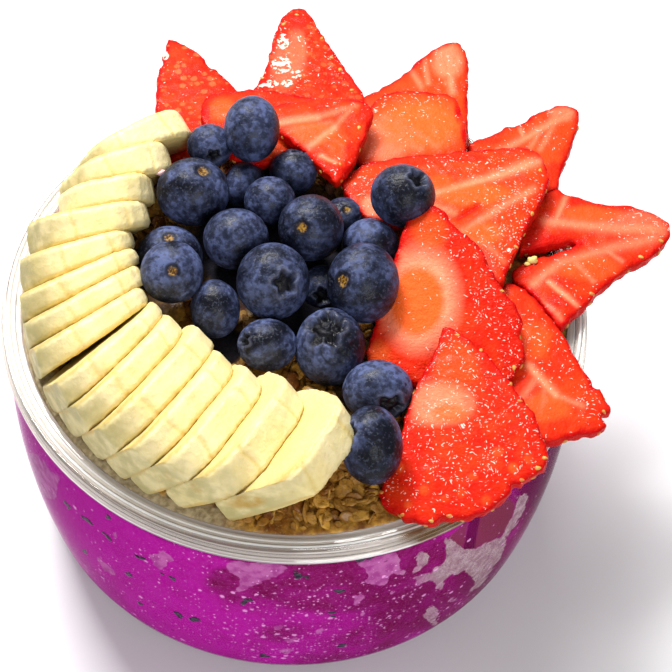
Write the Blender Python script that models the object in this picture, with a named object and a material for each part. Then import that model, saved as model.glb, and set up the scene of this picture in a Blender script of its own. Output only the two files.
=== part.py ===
"""A clear round tub of magenta fruit puree under a bed of toasted granola, topped with a fan of
banana slices, a heap of blueberries and thin strawberry slices whose tips reach over the rim.

Metres, +Z up. The origin is the centre of the tub's flat base, which the tub stands on. The fan
of banana lies towards -X and -Y, the strawberries towards +X and +Y, the blueberries between.
"""
import math

import bmesh
import bpy
from mathutils import Matrix, Vector
from mathutils.bvhtree import BVHTree

MM = 0.001
GAP = 0.0003
SAME_POINT = 1e-6

# Tub: a thin clear moulding with a rounded foot, a bowed wall, a groove for the lid under the
# flange, and a skirt that hangs from the flange's outer edge.
RIM_RADIUS = 0.0750
TUB_HEIGHT = 0.0776
BASE_RADIUS = 0.0520
CORNER_RADIUS = 0.0180
CORNER_END_DEG = -12.0
WALL_TOP_RADIUS = 0.0734
WALL_TOP_HEIGHT = 0.0705
WALL_BULGE = 0.0020
WALL_THICKNESS = 0.0007
NECK_RADIUS = 0.0700
NECK_HEIGHT = 0.0742
FLANGE_UNDERSIDE = 0.0766
SKIRT_THICKNESS = 0.0008
SKIRT_BOTTOM = 0.0723
EDGE_ROUNDING = 0.0007
TUB_SEGMENTS = 44
CORNER_STEPS = 4
WALL_STEPS = 3

# Contents, from the floor of the tub upwards.
PUREE_TOP = 0.0730
GRANOLA_BOTTOM = PUREE_TOP + GAP
GRANOLA_RADIUS = NECK_RADIUS - WALL_THICKNESS - GAP
GRANOLA_EDGE_HEIGHT = 0.0758
GRANOLA_CROWN = 0.0066
GRANOLA_CROWN_CENTRE = (-0.002, -0.002)
GRANOLA_CROWN_REACH = 0.064
GRANOLA_THINNEST = 0.0004
GRANOLA_CLEARANCE = 0.0008
GRANOLA_RINGS = 16
GRANOLA_SEGMENTS = 48
CLEAR_SHARES = (-1.0, -0.75, -0.5, -0.25, 0.0, 0.25, 0.5, 0.75, 1.0)
GRANOLA_LUMPS = ((310.0, 0.4, 0.0005), (520.0, 2.1, 0.0003), (730.0, 4.4, 0.0002))

# Banana fan: rows of slices in millimetres, from the front right to the back left. Each row has
# the outer end, the inner end, the lean from upright in degrees, the half height of the cut face,
# how far towards the slice before it the cut between the two lies (0.5 is halfway) and the
# opening of that cut at the outer end.
BANANA_SLICES = (
    (-17.5, -67.5, 1.5, -33.0, 52.0, 17.0, 0.50, 0.3),
    (-25.0, -67.0, -4.5, -30.0, 44.0, 15.5, 0.75, 0.3),
    (-34.5, -64.5, -12.0, -28.0, 36.0, 14.5, 0.50, 0.3),
    (-40.5, -60.0, -18.0, -24.5, 34.0, 14.0, 0.50, 0.3),
    (-47.0, -53.5, -23.5, -17.5, 34.0, 14.0, 0.50, 0.3),
    (-54.0, -47.0, -31.5, -13.5, 34.0, 14.0, 0.50, 0.3),
    (-59.0, -41.5, -35.0, -9.5, 34.0, 14.5, 0.50, 0.3),
    (-64.0, -29.0, -37.5, -6.0, 34.0, 14.0, 0.50, 2.6),
    (-67.0, -21.0, -39.0, 1.0, 34.0, 14.0, 0.50, 0.3),
    (-68.0, -13.0, -40.5, 7.5, 34.0, 14.0, 0.50, 0.3),
    (-68.5, -2.0, -41.0, 11.0, 34.0, 14.0, 0.50, 0.3),
    (-67.5, 10.0, -38.0, 19.5, 34.0, 14.5, 0.50, 0.3),
    (-62.5, 22.0, -37.0, 28.0, 34.0, 14.5, 0.50, 0.3),
    (-60.5, 27.0, -33.0, 37.5, 28.0, 13.5, 0.50, 0.3),
    (-57.5, 33.0, -29.5, 50.5, 18.0, 12.5, 0.50, 0.3),
)
BANANA_FRONT_REACH = 0.0068
BANANA_FLOOR = 0.0741
BANANA_LEVELLING_ROUNDS = 24
BANANA_POINTS = 20
BANANA_RIDGES_DEG = (65.0, 115.0, 188.0, 270.0, 352.0)
BANANA_FLATNESS = 0.5
BANANA_ROUNDING = 0.0008

# Strawberry slices, in the order they are laid: tip x and y, heading of the tip and its upward
# pitch and roll in degrees, thickness and length, then for the left and the right side the half
# width, the distance from the tip to the shoulder and the bow (under 1 bulges).
STRAWBERRY_SLICES = {
    "east_back": (42.5, 92.5, 66.0, 0.0, 0.0, 3.4, 40.0, 12.5, 30.0, 1.00, 15.0, 30.0, 0.85),
    "north": (-2.0, 102.0, 91.0, 0.0, 0.0, 3.4, 42.0, 15.5, 34.0, 1.05, 15.5, 34.0, 1.00),
    "north_west": (-37.5, 90.5, 105.0, 0.0, 0.0, 3.4, 33.0, 8.5, 22.0, 0.90, 12.0, 26.0, 1.10),
    "north_east": (75.0, 68.5, 48.0, 0.0, 0.0, 3.4, 36.0, 13.0, 30.0, 1.05, 13.0, 28.0, 1.05),
    "east": (98.0, 26.5, 17.0, 0.0, 0.0, 3.4, 47.0, 21.5, 37.0, 0.90, 20.5, 41.0, 1.40),
    "right_low": (52.5, 3.5, 108.0, 4.5, 0.0, 3.4, 48.0, 14.0, 36.0, 0.90, 14.0, 38.0, 1.05),
    "back_middle": (15.0, 31.5, 240.0, 0.0, 0.0, 3.4, 45.0, 15.0, 28.0, 0.70, 16.5, 27.0, 0.70),
    "back_left": (16.0, 57.5, 2.0, 0.0, 0.0, 3.4, 43.0, 11.5, 25.0, 0.70, 11.5, 25.0, 0.70),
    "back_small": (-18.0, 60.0, 161.0, 0.0, 0.0, 3.4, 36.0, 14.5, 29.0, 0.80, 14.5, 29.0, 0.80),
    "right_wide": (10.5, 32.0, 170.0, 0.0, 0.0, 3.4, 52.0, 21.0, 42.0, 0.75, 20.0, 40.0, 0.75),
    "right_dome": (35.5, 16.5, 95.0, 18.0, -6.0, 3.4, 42.0, 19.0, 38.0, 1.20, 18.5, 35.0, 0.90),
    "front_right": (38.0, -18.0, 97.0, 11.0, -8.0, 3.4, 49.5, 21.5, 40.0, 1.20, 20.5, 31.0, 1.15),
}
STRAWBERRY_TIP_ROUNDING = 0.0020
STRAWBERRY_TIP_FADE = 3.0
STRAWBERRY_BASE_POWER = 2.4
STRAWBERRY_EDGE_ROUNDING = 0.0009
STRAWBERRY_SIDE_POINTS = 7
STRAWBERRY_TIP_CROWDING = 1.6
STRAWBERRY_BASE_POINTS = 5
STRAWBERRY_SINK = 0.0015
DROP_START = 0.060
EDGE_SHARES = (0.25, 0.5, 0.75)

# Blueberries in millimetres: centre x, y and z, largest diameter, then the compass direction and
# the elevation in degrees that the crown faces.
BLUEBERRIES = {
    "back_top": (-13.0, 41.0, 97.0, 15.6, 100.0, 10.0),
    "back_left_small": (-24.0, 39.5, 91.0, 11.6, -73.0, 23.0),
    "left_large": (-27.5, 24.0, 90.5, 17.8, -5.0, 73.0),
    "back_low": (-15.0, 33.0, 84.0, 12.2, 20.0, 50.0),
    "upper_middle": (-7.5, 23.0, 88.0, 13.4, 60.0, 20.0),
    "back_crowned": (-2.0, 34.5, 88.0, 11.2, 77.0, 50.0),
    "middle_left": (-15.5, 9.5, 90.0, 16.2, 30.0, -20.0),
    "middle_back": (2.5, 11.5, 91.0, 17.6, -107.0, 57.0),
    "back_right_small": (11.0, 22.5, 86.0, 12.0, -40.0, 45.0),
    "centre": (-5.5, -5.5, 92.0, 18.6, -60.0, 42.0),
    "left_behind": (-32.0, 8.5, 86.0, 15.2, -94.0, 74.0),
    "left_front": (-31.0, -5.0, 93.5, 15.2, -86.0, 53.0),
    "lower_left": (-19.5, -11.0, 88.0, 13.2, -66.0, 12.0),
    "right_back": (18.5, 12.0, 87.0, 14.6, 70.0, 10.0),
    "right_large": (16.5, -4.5, 91.5, 18.8, -142.0, 44.0),
    "on_strawberry": (26.5, 20.0, 97.0, 15.8, 7.0, 63.0),
    "between": (7.0, 2.0, 83.0, 11.0, -113.0, 41.0),
    "front_left": (-6.5, -21.0, 87.0, 13.4, -157.0, 31.0),
    "front_large": (9.0, -20.0, 86.5, 17.8, -171.0, 47.0),
    "front_behind": (20.0, -33.0, 86.0, 15.6, -65.0, 29.0),
    "front_lowest": (19.5, -51.0, 90.0, 15.0, 172.0, 47.0),
}
BERRY_SEGMENTS = 10
BERRY_HEIGHT_RATIO = 0.87
# Turned outline of a berry of radius 1 whose crown faces up: the angle from the crown for the
# skin, then radius and height of the crown's star rim and of the dimple inside it.
BERRY_SKIN_DEG = (180.0, 152.0, 122.0, 90.0, 58.0, 30.0)
BERRY_CROWN_RIM = (0.36, 0.92)
BERRY_CROWN_WELL = (0.22, 0.76)
BERRY_CROWN_FLOOR = 0.72
SETTLE_ROUNDS = 40

PLASTIC = ("clear_plastic", (0.93, 0.94, 0.95), 0.12)
PUREE = ("puree", (0.42, 0.01, 0.30), 0.35)
GRANOLA = ("granola", (0.36, 0.19, 0.06), 0.80)
BANANA = ("banana", (0.93, 0.86, 0.52), 0.55)
STRAWBERRY = ("strawberry", (0.86, 0.07, 0.03), 0.30)
BLUEBERRY = ("blueberry", (0.05, 0.07, 0.16), 0.50)


def remove_everything():
    for scene_object in list(bpy.data.objects):
        bpy.data.objects.remove(scene_object, do_unlink=True)


def surface(look):
    """The food's or the tub's own material: name, base colour and roughness."""
    name, colour, roughness = look
    material = bpy.data.materials.get(name)
    if material is None:
        material = bpy.data.materials.new(name)
        material.use_nodes = True
        shader = material.node_tree.nodes["Principled BSDF"]
        shader.inputs["Base Color"].default_value = (*colour, 1.0)
        shader.inputs["Roughness"].default_value = roughness
        shader.inputs["Metallic"].default_value = 0.0
    return material


def finish_solid(bm, name, look, smooth_deg):
    """Triangulate the closed body, face it outwards and place it in the scene."""
    bmesh.ops.recalc_face_normals(bm, faces=bm.faces)
    bmesh.ops.triangulate(bm, faces=bm.faces)
    mesh = bpy.data.meshes.new(name)
    bm.to_mesh(mesh)
    bm.free()
    mesh.materials.append(surface(look))
    mesh.shade_smooth()
    mesh.set_sharp_from_angle(angle=math.radians(smooth_deg))
    solid = bpy.data.objects.new(name, mesh)
    bpy.context.scene.collection.objects.link(solid)
    return solid


def turned_solid(name, outline, segments, look, smooth_deg=40.0):
    """Spin an outline that starts and ends on the Z axis."""
    bm = bmesh.new()
    corners = [bm.verts.new((radius, 0.0, height)) for radius, height in outline]
    edges = [bm.edges.new(pair) for pair in zip(corners, corners[1:])]
    bmesh.ops.spin(
        bm,
        geom=corners + edges,
        cent=(0.0, 0.0, 0.0),
        axis=(0.0, 0.0, 1.0),
        angle=math.tau,
        steps=segments,
        use_merge=True,
    )
    bmesh.ops.remove_doubles(bm, verts=bm.verts, dist=SAME_POINT)
    return finish_solid(bm, name, look, smooth_deg)


def bridge_rings(bm, rings):
    """Close a stack of point rings into one body with a flat cap at each end."""
    loops = [[bm.verts.new(point) for point in ring] for ring in rings]
    count = len(loops[0])
    for lower, upper in zip(loops, loops[1:]):
        for index in range(count):
            following = (index + 1) % count
            bm.faces.new((lower[index], lower[following], upper[following], upper[index]))
    bm.faces.new(list(reversed(loops[0])))
    bm.faces.new(loops[-1])


# ---------------------------------------------------------------- tub and puree


def wall_outline():
    """Outside of the tub from the base's edge up to the lid groove."""
    start = -math.pi / 2.0
    end = math.radians(CORNER_END_DEG)
    points = []
    for step in range(CORNER_STEPS + 1):
        angle = start + (end - start) * step / CORNER_STEPS
        radius = BASE_RADIUS + CORNER_RADIUS * math.cos(angle)
        height = CORNER_RADIUS * (1.0 + math.sin(angle))
        points.append((radius, height))
    foot_radius, foot_height = points[-1]
    for step in range(1, WALL_STEPS + 1):
        share = step / WALL_STEPS
        radius = foot_radius + (WALL_TOP_RADIUS - foot_radius) * share
        radius += WALL_BULGE * 4.0 * share * (1.0 - share)
        height = foot_height + (WALL_TOP_HEIGHT - foot_height) * share
        points.append((radius, height))
    return points


def inset_outline(points, distance):
    """Move each outline point inwards, square to the line through its neighbours."""
    moved = []
    for index, (radius, height) in enumerate(points):
        before = points[max(index - 1, 0)]
        after = points[min(index + 1, len(points) - 1)]
        run = after[0] - before[0]
        rise = after[1] - before[1]
        length = math.hypot(run, rise)
        moved.append((radius - distance * rise / length, height + distance * run / length))
    return moved


def inner_wall(distance):
    """The tub's wall moved inwards, with its lowest point level with its floor."""
    points = inset_outline(wall_outline(), distance)
    points[0] = (BASE_RADIUS, distance)
    return points


def build_tub():
    outside = wall_outline()
    inside = inner_wall(WALL_THICKNESS)
    neck_inner = NECK_RADIUS - WALL_THICKNESS
    skirt_inner = RIM_RADIUS - SKIRT_THICKNESS
    rim = [
        (NECK_RADIUS, NECK_HEIGHT),
        (NECK_RADIUS, FLANGE_UNDERSIDE),
        (skirt_inner, FLANGE_UNDERSIDE),
        (skirt_inner, SKIRT_BOTTOM),
        (RIM_RADIUS, SKIRT_BOTTOM),
        (RIM_RADIUS, TUB_HEIGHT - EDGE_ROUNDING),
        (RIM_RADIUS - EDGE_ROUNDING, TUB_HEIGHT),
        (neck_inner, TUB_HEIGHT),
        (neck_inner, NECK_HEIGHT),
    ]
    outline = [(0.0, 0.0)] + outside + rim + list(reversed(inside)) + [(0.0, WALL_THICKNESS)]
    return turned_solid("tub", outline, TUB_SEGMENTS, PLASTIC)


def build_puree():
    """The puree fills the tub up to the granola, just clear of the plastic."""
    sides = inner_wall(WALL_THICKNESS + GAP)
    neck_share = (PUREE_TOP - WALL_TOP_HEIGHT) / (NECK_HEIGHT - WALL_TOP_HEIGHT)
    neck_start = WALL_TOP_RADIUS - WALL_THICKNESS - GAP
    top_radius = neck_start + (NECK_RADIUS - WALL_TOP_RADIUS) * neck_share - GAP
    floor = WALL_THICKNESS + GAP
    outline = [(0.0, floor)] + sides + [(top_radius, PUREE_TOP), (0.0, PUREE_TOP)]
    return turned_solid("puree", outline, TUB_SEGMENTS, PUREE)


# ---------------------------------------------------------------- banana


def banana_ring_factor(angle):
    """Radius of the rounded five-sided cut face, as a share of its oval."""
    ridges = [math.radians(value) for value in BANANA_RIDGES_DEG]
    for index, ridge in enumerate(ridges):
        following = ridges[(index + 1) % len(ridges)]
        if following <= ridge:
            following += math.tau
        for turn in (angle, angle + math.tau):
            if ridge <= turn <= following:
                half = (following - ridge) / 2.0
                chord = math.cos(half) / math.cos(turn - ridge - half)
                return 1.0 - BANANA_FLATNESS * (1.0 - chord)
    return 1.0


def leaning_plane(outer, inner, lean, height):
    """A point on, and the forward normal of, a leaning cut that holds a level line."""
    along = (inner - outer).normalized()
    forward = Vector((along.y, -along.x, 0.0))
    normal = forward * math.cos(lean) - Vector((0.0, 0.0, math.sin(lean)))
    middle = (outer + inner) / 2.0
    return Vector((middle.x, middle.y, height)), normal


def banana_cuts(slices):
    """The cut on the front and on the back of each slice, half a gap off its neighbour's."""
    cuts = []
    last = len(slices) - 1
    for index, piece in enumerate(slices):
        pair = []
        for step in (-1, 1):
            other = index + step
            if 0 <= other <= last:
                share = piece["share"] if step < 0 else 1.0 - slices[other]["share"]
                shift_inner = (slices[other]["inner"] - piece["inner"]) * share
                shift_outer = (slices[other]["outer"] - piece["outer"]) * share
                lean = (piece["lean"] + slices[other]["lean"]) / 2.0
                height = (piece["centre"].z + slices[other]["centre"].z) / 2.0
            else:
                opposite = slices[index - step]
                shift_inner = (piece["inner"] - opposite["inner"]) / 2.0
                shift_outer = (piece["outer"] - opposite["outer"]) / 2.0
                lean = piece["lean"]
                height = piece["centre"].z
                if index == 0:
                    reach = BANANA_FRONT_REACH / math.cos(lean)
                    shift_inner = shift_inner.normalized() * reach
                    shift_outer = shift_outer.normalized() * reach
            opening = piece["opening"] if step < 0 else slices[min(other, last)]["opening"]
            inner = piece["inner"] + shift_inner
            outer = piece["outer"] + shift_outer
            along = (inner - outer).normalized()
            away = Vector((along.y, -along.x, 0.0)) * step / (2.0 * math.cos(lean))
            pair.append(leaning_plane(outer + away * opening, inner + away * GAP, lean, height))
        cuts.append(pair)
    return cuts


def read_banana_rows():
    slices = []
    for row in BANANA_SLICES:
        outer_x, outer_y, inner_x, inner_y, lean_deg, half_height, share, opening = row
        outer = Vector((outer_x, outer_y, 0.0)) * MM
        inner = Vector((inner_x, inner_y, 0.0)) * MM
        lean = math.radians(lean_deg)
        centre = (outer + inner) / 2.0
        centre.z = BANANA_FLOOR + half_height * MM * math.cos(lean)
        slices.append({
            "outer": outer,
            "inner": inner,
            "lean": lean,
            "half_height": half_height * MM,
            "half_length": (inner - outer).length / 2.0,
            "centre": centre,
            "share": share,
            "opening": opening * MM,
        })
    return slices


def banana_rings(piece, cuts):
    """Four rings round a slice: a rounded edge at its front cut and one at its back cut."""
    along = (piece["inner"] - piece["outer"]).normalized()
    _, axis = leaning_plane(piece["outer"], piece["inner"], piece["lean"], 0.0)
    upward = axis.cross(along)
    if upward.z < 0.0:
        upward.negate()
    front, back = cuts
    rings = []
    for (cut_point, cut_normal), depth, inset in (
        (front, 0.0, BANANA_ROUNDING),
        (front, -BANANA_ROUNDING, 0.0),
        (back, BANANA_ROUNDING, 0.0),
        (back, 0.0, BANANA_ROUNDING),
    ):
        ring = []
        for index in range(BANANA_POINTS):
            angle = math.tau * index / BANANA_POINTS
            factor = banana_ring_factor(angle)
            across = (piece["half_length"] - inset) * math.cos(angle) * factor
            height = (piece["half_height"] - inset) * math.sin(angle) * factor
            start = piece["centre"] + along * across + upward * height
            reach = (cut_point - start).dot(cut_normal) / axis.dot(cut_normal)
            ring.append(start + axis * (reach + depth))
        rings.append(ring)
    return rings


def build_banana_slices():
    slices = read_banana_rows()
    built = []
    for number, (piece, cuts) in enumerate(zip(slices, banana_cuts(slices)), start=1):
        for _ in range(BANANA_LEVELLING_ROUNDS):
            rings = banana_rings(piece, cuts)
            lowest = min(point.z for ring in rings for point in ring)
            piece["centre"].z += BANANA_FLOOR - lowest
        bm = bmesh.new()
        bridge_rings(bm, banana_rings(piece, cuts))
        built.append(finish_solid(bm, f"banana_{number:02d}", BANANA, 35.0))
    return built


# ---------------------------------------------------------------- granola bed


def bed_height(x, y):
    """Top of the granola before the fruit presses into it."""
    offset = math.hypot(x - GRANOLA_CROWN_CENTRE[0], y - GRANOLA_CROWN_CENTRE[1])
    height = GRANOLA_EDGE_HEIGHT
    height += GRANOLA_CROWN * max(0.0, 1.0 - (offset / GRANOLA_CROWN_REACH) ** 2)
    for frequency, phase, swell in GRANOLA_LUMPS:
        height += swell * math.sin(frequency * x + phase) * math.cos(frequency * y - phase)
    return height


def world_tree(solid):
    """A search tree over the solid's triangles."""
    points = [solid.matrix_world @ vertex.co for vertex in solid.data.vertices]
    faces = [tuple(polygon.vertices) for polygon in solid.data.polygons]
    return BVHTree.FromPolygons(points, faces)


def build_granola(fruit):
    """A round bed whose top keeps below the underside of every piece of fruit."""
    trees = [world_tree(solid) for solid in fruit]
    upwards = Vector((0.0, 0.0, 1.0))
    ring_width = GRANOLA_RADIUS / GRANOLA_RINGS
    segment_angle = math.tau / GRANOLA_SEGMENTS

    def clear_height(radius, angle):
        x = radius * math.cos(angle)
        y = radius * math.sin(angle)
        height = bed_height(x, y)
        for ring_shift in CLEAR_SHARES:
            for turn_shift in CLEAR_SHARES:
                near_radius = radius + ring_shift * ring_width
                near_angle = angle + turn_shift * segment_angle
                start = Vector((
                    near_radius * math.cos(near_angle),
                    near_radius * math.sin(near_angle),
                    GRANOLA_BOTTOM,
                ))
                for tree in trees:
                    found = tree.ray_cast(start, upwards)
                    if found[0] is not None:
                        height = min(height, found[0].z - GRANOLA_CLEARANCE)
        return x, y, max(height, GRANOLA_BOTTOM + GRANOLA_THINNEST)

    bm = bmesh.new()
    rings = []
    for ring_number in range(1, GRANOLA_RINGS + 1):
        radius = ring_width * ring_number
        ring = []
        for index in range(GRANOLA_SEGMENTS):
            ring.append(bm.verts.new(clear_height(radius, index * segment_angle)))
        rings.append(ring)
    floor_ring = [bm.verts.new((corner.co.x, corner.co.y, GRANOLA_BOTTOM)) for corner in rings[-1]]
    rings.append(floor_ring)
    crown = bm.verts.new(clear_height(0.0, 0.0))
    for index in range(GRANOLA_SEGMENTS):
        following = (index + 1) % GRANOLA_SEGMENTS
        bm.faces.new((crown, rings[0][index], rings[0][following]))
        for lower, upper in zip(rings, rings[1:]):
            bm.faces.new((lower[index], upper[index], upper[following], lower[following]))
    bm.faces.new(list(reversed(floor_ring)))
    return finish_solid(bm, "granola", GRANOLA, 60.0)


# ---------------------------------------------------------------- strawberries


def half_width(distance, width, shoulder, bow):
    """Half the width of a slice at a distance from its tip, up to the shoulder."""
    side = width * math.sin(math.pi / 2.0 * (distance / shoulder) ** bow)
    rounding = 2.0 * STRAWBERRY_TIP_ROUNDING * distance
    rounding *= math.exp(-distance / (STRAWBERRY_TIP_FADE * STRAWBERRY_TIP_ROUNDING))
    return min(math.sqrt(side * side + rounding), width)


def strawberry_side(length, width, shoulder, bow):
    """Points from next to the tip round the shoulder to next to the base's middle."""
    points = []
    for step in range(1, STRAWBERRY_SIDE_POINTS + 1):
        distance = shoulder * (step / STRAWBERRY_SIDE_POINTS) ** STRAWBERRY_TIP_CROWDING
        points.append((-distance, half_width(distance, width, shoulder, bow)))
    for step in range(1, STRAWBERRY_BASE_POINTS):
        turn = math.pi / 2.0 * step / STRAWBERRY_BASE_POINTS
        power = 2.0 / STRAWBERRY_BASE_POWER
        distance = shoulder + (length - shoulder) * math.sin(turn) ** power
        points.append((-distance, width * math.cos(turn) ** power))
    return points


def strawberry_outline(length, left_side, right_side):
    """Each side is its half width, its distance to the shoulder and its bow."""
    left = strawberry_side(length, *left_side)
    right = strawberry_side(length, *right_side)
    mirrored = [(x, -y) for x, y in reversed(right)]
    return [(0.0, 0.0)] + left + [(-length, 0.0)] + mirrored


def shrink_outline(points, distance):
    """Move every point of a closed outline inwards by about the distance."""
    count = len(points)
    moved = []
    for index, (x, y) in enumerate(points):
        before = points[index - 1]
        after = points[(index + 1) % count]
        run = after[0] - before[0]
        rise = after[1] - before[1]
        length = math.hypot(run, rise)
        moved.append((x - distance * rise / length, y + distance * run / length))
    return moved


def edge_samples(solid):
    """The solid's corners and a few points along each of its edges."""
    corners = [vertex.co.copy() for vertex in solid.data.vertices]
    samples = list(corners)
    for edge in solid.data.edges:
        first, second = (corners[index] for index in edge.vertices)
        samples.extend(first.lerp(second, share) for share in EDGE_SHARES)
    return samples


def room_beneath(solid, obstacles):
    """How far the solid can sink before it meets what is beneath it."""
    own_tree = world_tree(solid)
    downwards = Vector((0.0, 0.0, -1.0))
    room = DROP_START
    for sample in edge_samples(solid):
        if math.hypot(sample.x, sample.y) < GRANOLA_RADIUS:
            room = min(room, sample.z - bed_height(sample.x, sample.y) + STRAWBERRY_SINK)
        for tree, _ in obstacles:
            found = tree.ray_cast(sample, downwards)
            if found[0] is not None:
                room = min(room, sample.z - found[0].z - GAP)
    for _, points in obstacles:
        for point in points:
            found = own_tree.ray_cast(point, -downwards)
            if found[0] is not None:
                room = min(room, found[0].z - point.z - GAP)
    return room


def build_strawberry_slices(tub):
    """Lay the slices one after another on the rim, the granola and each other."""
    obstacles = [(world_tree(tub), edge_samples(tub))]
    built = []
    for name, row in STRAWBERRY_SLICES.items():
        tip_x, tip_y, heading, pitch, roll = row[:5]
        thickness = row[5] * MM
        length = row[6] * MM
        left_side = (row[7] * MM, row[8] * MM, row[9])
        right_side = (row[10] * MM, row[11] * MM, row[12])
        outline = strawberry_outline(length, left_side, right_side)
        inner = shrink_outline(outline, STRAWBERRY_EDGE_ROUNDING)
        turn = Matrix.Rotation(math.radians(heading), 3, "Z")
        turn = turn @ Matrix.Rotation(math.radians(-pitch), 3, "Y")
        turn = turn @ Matrix.Rotation(math.radians(roll), 3, "X")
        tip = Vector((tip_x * MM, tip_y * MM, TUB_HEIGHT + DROP_START))
        layers = ((inner, -0.5), (outline, 0.0), (inner, 0.5))
        rings = [
            [tip + turn @ Vector((x, y, level * thickness)) for x, y in points]
            for points, level in layers
        ]
        bm = bmesh.new()
        bridge_rings(bm, rings)
        solid = finish_solid(bm, f"strawberry_{name}", STRAWBERRY, 35.0)
        room = room_beneath(solid, obstacles)
        solid.data.transform(Matrix.Translation((0.0, 0.0, -room)))
        obstacles.append((world_tree(solid), edge_samples(solid)))
        built.append(solid)
    return built


# ---------------------------------------------------------------- blueberries


def berry_outline(radius):
    """Turned outline with the dimple of the crown on top."""
    points = []
    for angle_deg in BERRY_SKIN_DEG:
        angle = math.radians(angle_deg)
        across = max(0.0, math.sin(angle)) * radius
        points.append((across, math.cos(angle) * radius * BERRY_HEIGHT_RATIO))
    points[0] = (0.0, points[0][1])
    for across, height in (BERRY_CROWN_RIM, BERRY_CROWN_WELL, (0.0, BERRY_CROWN_FLOOR)):
        points.append((across * radius, height * radius * BERRY_HEIGHT_RATIO))
    return points


def settle_berries(neighbours):
    """Move the berries that would press into each other, or into other fruit, until clear."""
    trees = [world_tree(solid) for solid in neighbours]
    berries = [
        (Vector(row[:3]) * MM, row[3] * MM / 2.0) for row in BLUEBERRIES.values()
    ]
    for _ in range(SETTLE_ROUNDS):
        for index, (first, first_radius) in enumerate(berries):
            for second, second_radius in berries[index + 1:]:
                between = second - first
                overlap = first_radius + second_radius + GAP - between.length
                if overlap > 0.0:
                    push = between.normalized() * overlap / 2.0
                    first -= push
                    second += push
            for tree in trees:
                nearest, _, _, distance = tree.find_nearest(first)
                overlap = first_radius + GAP - distance
                if overlap > 0.0:
                    first += (first - nearest).normalized() * overlap
    return berries


def build_blueberries(neighbours):
    built = []
    settled = settle_berries(neighbours)
    for (name, row), (centre, radius) in zip(BLUEBERRIES.items(), settled):
        berry = turned_solid(
            f"blueberry_{name}", berry_outline(radius), BERRY_SEGMENTS, BLUEBERRY
        )
        azimuth = math.radians(row[4])
        elevation = math.radians(row[5])
        crown = Vector((
            math.cos(azimuth) * math.cos(elevation),
            math.sin(azimuth) * math.cos(elevation),
            math.sin(elevation),
        ))
        turn = Vector((0.0, 0.0, 1.0)).rotation_difference(crown).to_matrix().to_4x4()
        berry.data.transform(Matrix.Translation(centre) @ turn)
        built.append(berry)
    return built


def main():
    remove_everything()
    tub = build_tub()
    build_puree()
    fruit = build_banana_slices()
    fruit += build_strawberry_slices(tub)
    fruit += build_blueberries(fruit)
    build_granola(fruit)


if __name__ == "__main__":
    main()
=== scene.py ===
"""A smoothie bowl in a clear tub: frozen magenta puree, granola, a fan of banana slices, blueberries
and strawberry slices that reach over the rim. Metres, +Z up, origin under the middle of the tub."""
import math
import random

import bpy
import numpy as np
from bpy.props import FloatProperty, FloatVectorProperty, IntProperty, PointerProperty
from bpy.types import Operator, Panel, PropertyGroup
from mathutils import Matrix, Vector, noise
from mathutils.bvhtree import BVHTree


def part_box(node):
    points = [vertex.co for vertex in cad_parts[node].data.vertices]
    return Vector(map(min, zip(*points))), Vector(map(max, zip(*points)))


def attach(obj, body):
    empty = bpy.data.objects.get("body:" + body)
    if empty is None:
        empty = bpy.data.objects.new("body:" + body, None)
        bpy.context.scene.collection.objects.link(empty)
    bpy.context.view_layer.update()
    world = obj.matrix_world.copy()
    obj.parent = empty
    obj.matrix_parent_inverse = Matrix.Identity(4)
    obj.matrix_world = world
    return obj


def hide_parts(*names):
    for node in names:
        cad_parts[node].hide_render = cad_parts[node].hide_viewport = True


bl_info = {
    "name": "Smoothie bowl",
    "version": (1, 0, 0),
    "blender": (4, 5, 0),
    "location": "View3D > Sidebar > Smoothie bowl",
    "description": "Makes a fruit smoothie bowl in a clear tub, piece by piece",
    "category": "Add Mesh",
}

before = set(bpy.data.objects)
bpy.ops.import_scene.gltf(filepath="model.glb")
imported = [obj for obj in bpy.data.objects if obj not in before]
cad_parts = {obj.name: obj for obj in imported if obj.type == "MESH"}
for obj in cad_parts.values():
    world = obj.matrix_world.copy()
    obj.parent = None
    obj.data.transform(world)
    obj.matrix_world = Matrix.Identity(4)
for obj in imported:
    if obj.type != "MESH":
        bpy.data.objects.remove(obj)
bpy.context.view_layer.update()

MM = 0.001

# The view of the reference picture: its side in pixels and the camera that looks at the bowl.
PICTURE_SIDE = 672
SENSOR_WIDTH = 36.0
CAMERA_PLACE = Vector((0.0, -0.329750, 0.501263))
CAMERA_FORWARD = Vector((0.01966957, 0.60124222, -0.79882470))
CAMERA_UP = Vector((-0.03181158, 0.79895109, 0.60055405))

# The tub's outline, in millimetres; WALL_TOP is a radius and a height.
BASE_RADIUS = 52.0
CORNER_RADIUS = 18.0
CORNER_END_DEG = -12.0
WALL_TOP = (73.4, 70.5)
WALL_BULGE = 2.0
WALL_THICKNESS = 0.7
NECK_RADIUS = 70.0
# The rim's edges with painted highlight: the skirt's lip lies beyond a radius and below a height,
# the groove's edge between two radii and above a height, and the bead above a height.
LIP_RADIUS = 74.4
LIP_TOP = 73.7
GROOVE_EDGE = (71.2, 71.6, 76.8)
BEAD_BASE = 77.3
# The rim's finish, and that of its edges with painted highlight; the grey streaks of painted
# reflection run round it.
RIM_ROUGHNESS = 0.05
EDGE_TINT = (250, 250, 250)
EDGE_ROUGHNESS = 0.1
EDGE_CLEARNESS = 0.15
STREAK_WIDTH = 0.45
# What light keeps of its colour behind the clear plastic.
THROUGH_WALL = (0.93, 0.93, 0.94, 1.0)
# The puree presses into the wall a little, and flares out below the neck up to its flat top.
PUREE_BITE = 0.1
PUREE_FLARE = 0.9
PUREE_TOP = 73.0
# Steps round the base's corner and up the wall.
TUB_STEPS = (14, 26)
PUREE_STEPS = (20, 60)
PUREE_STEPS_ROUND = 400
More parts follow.
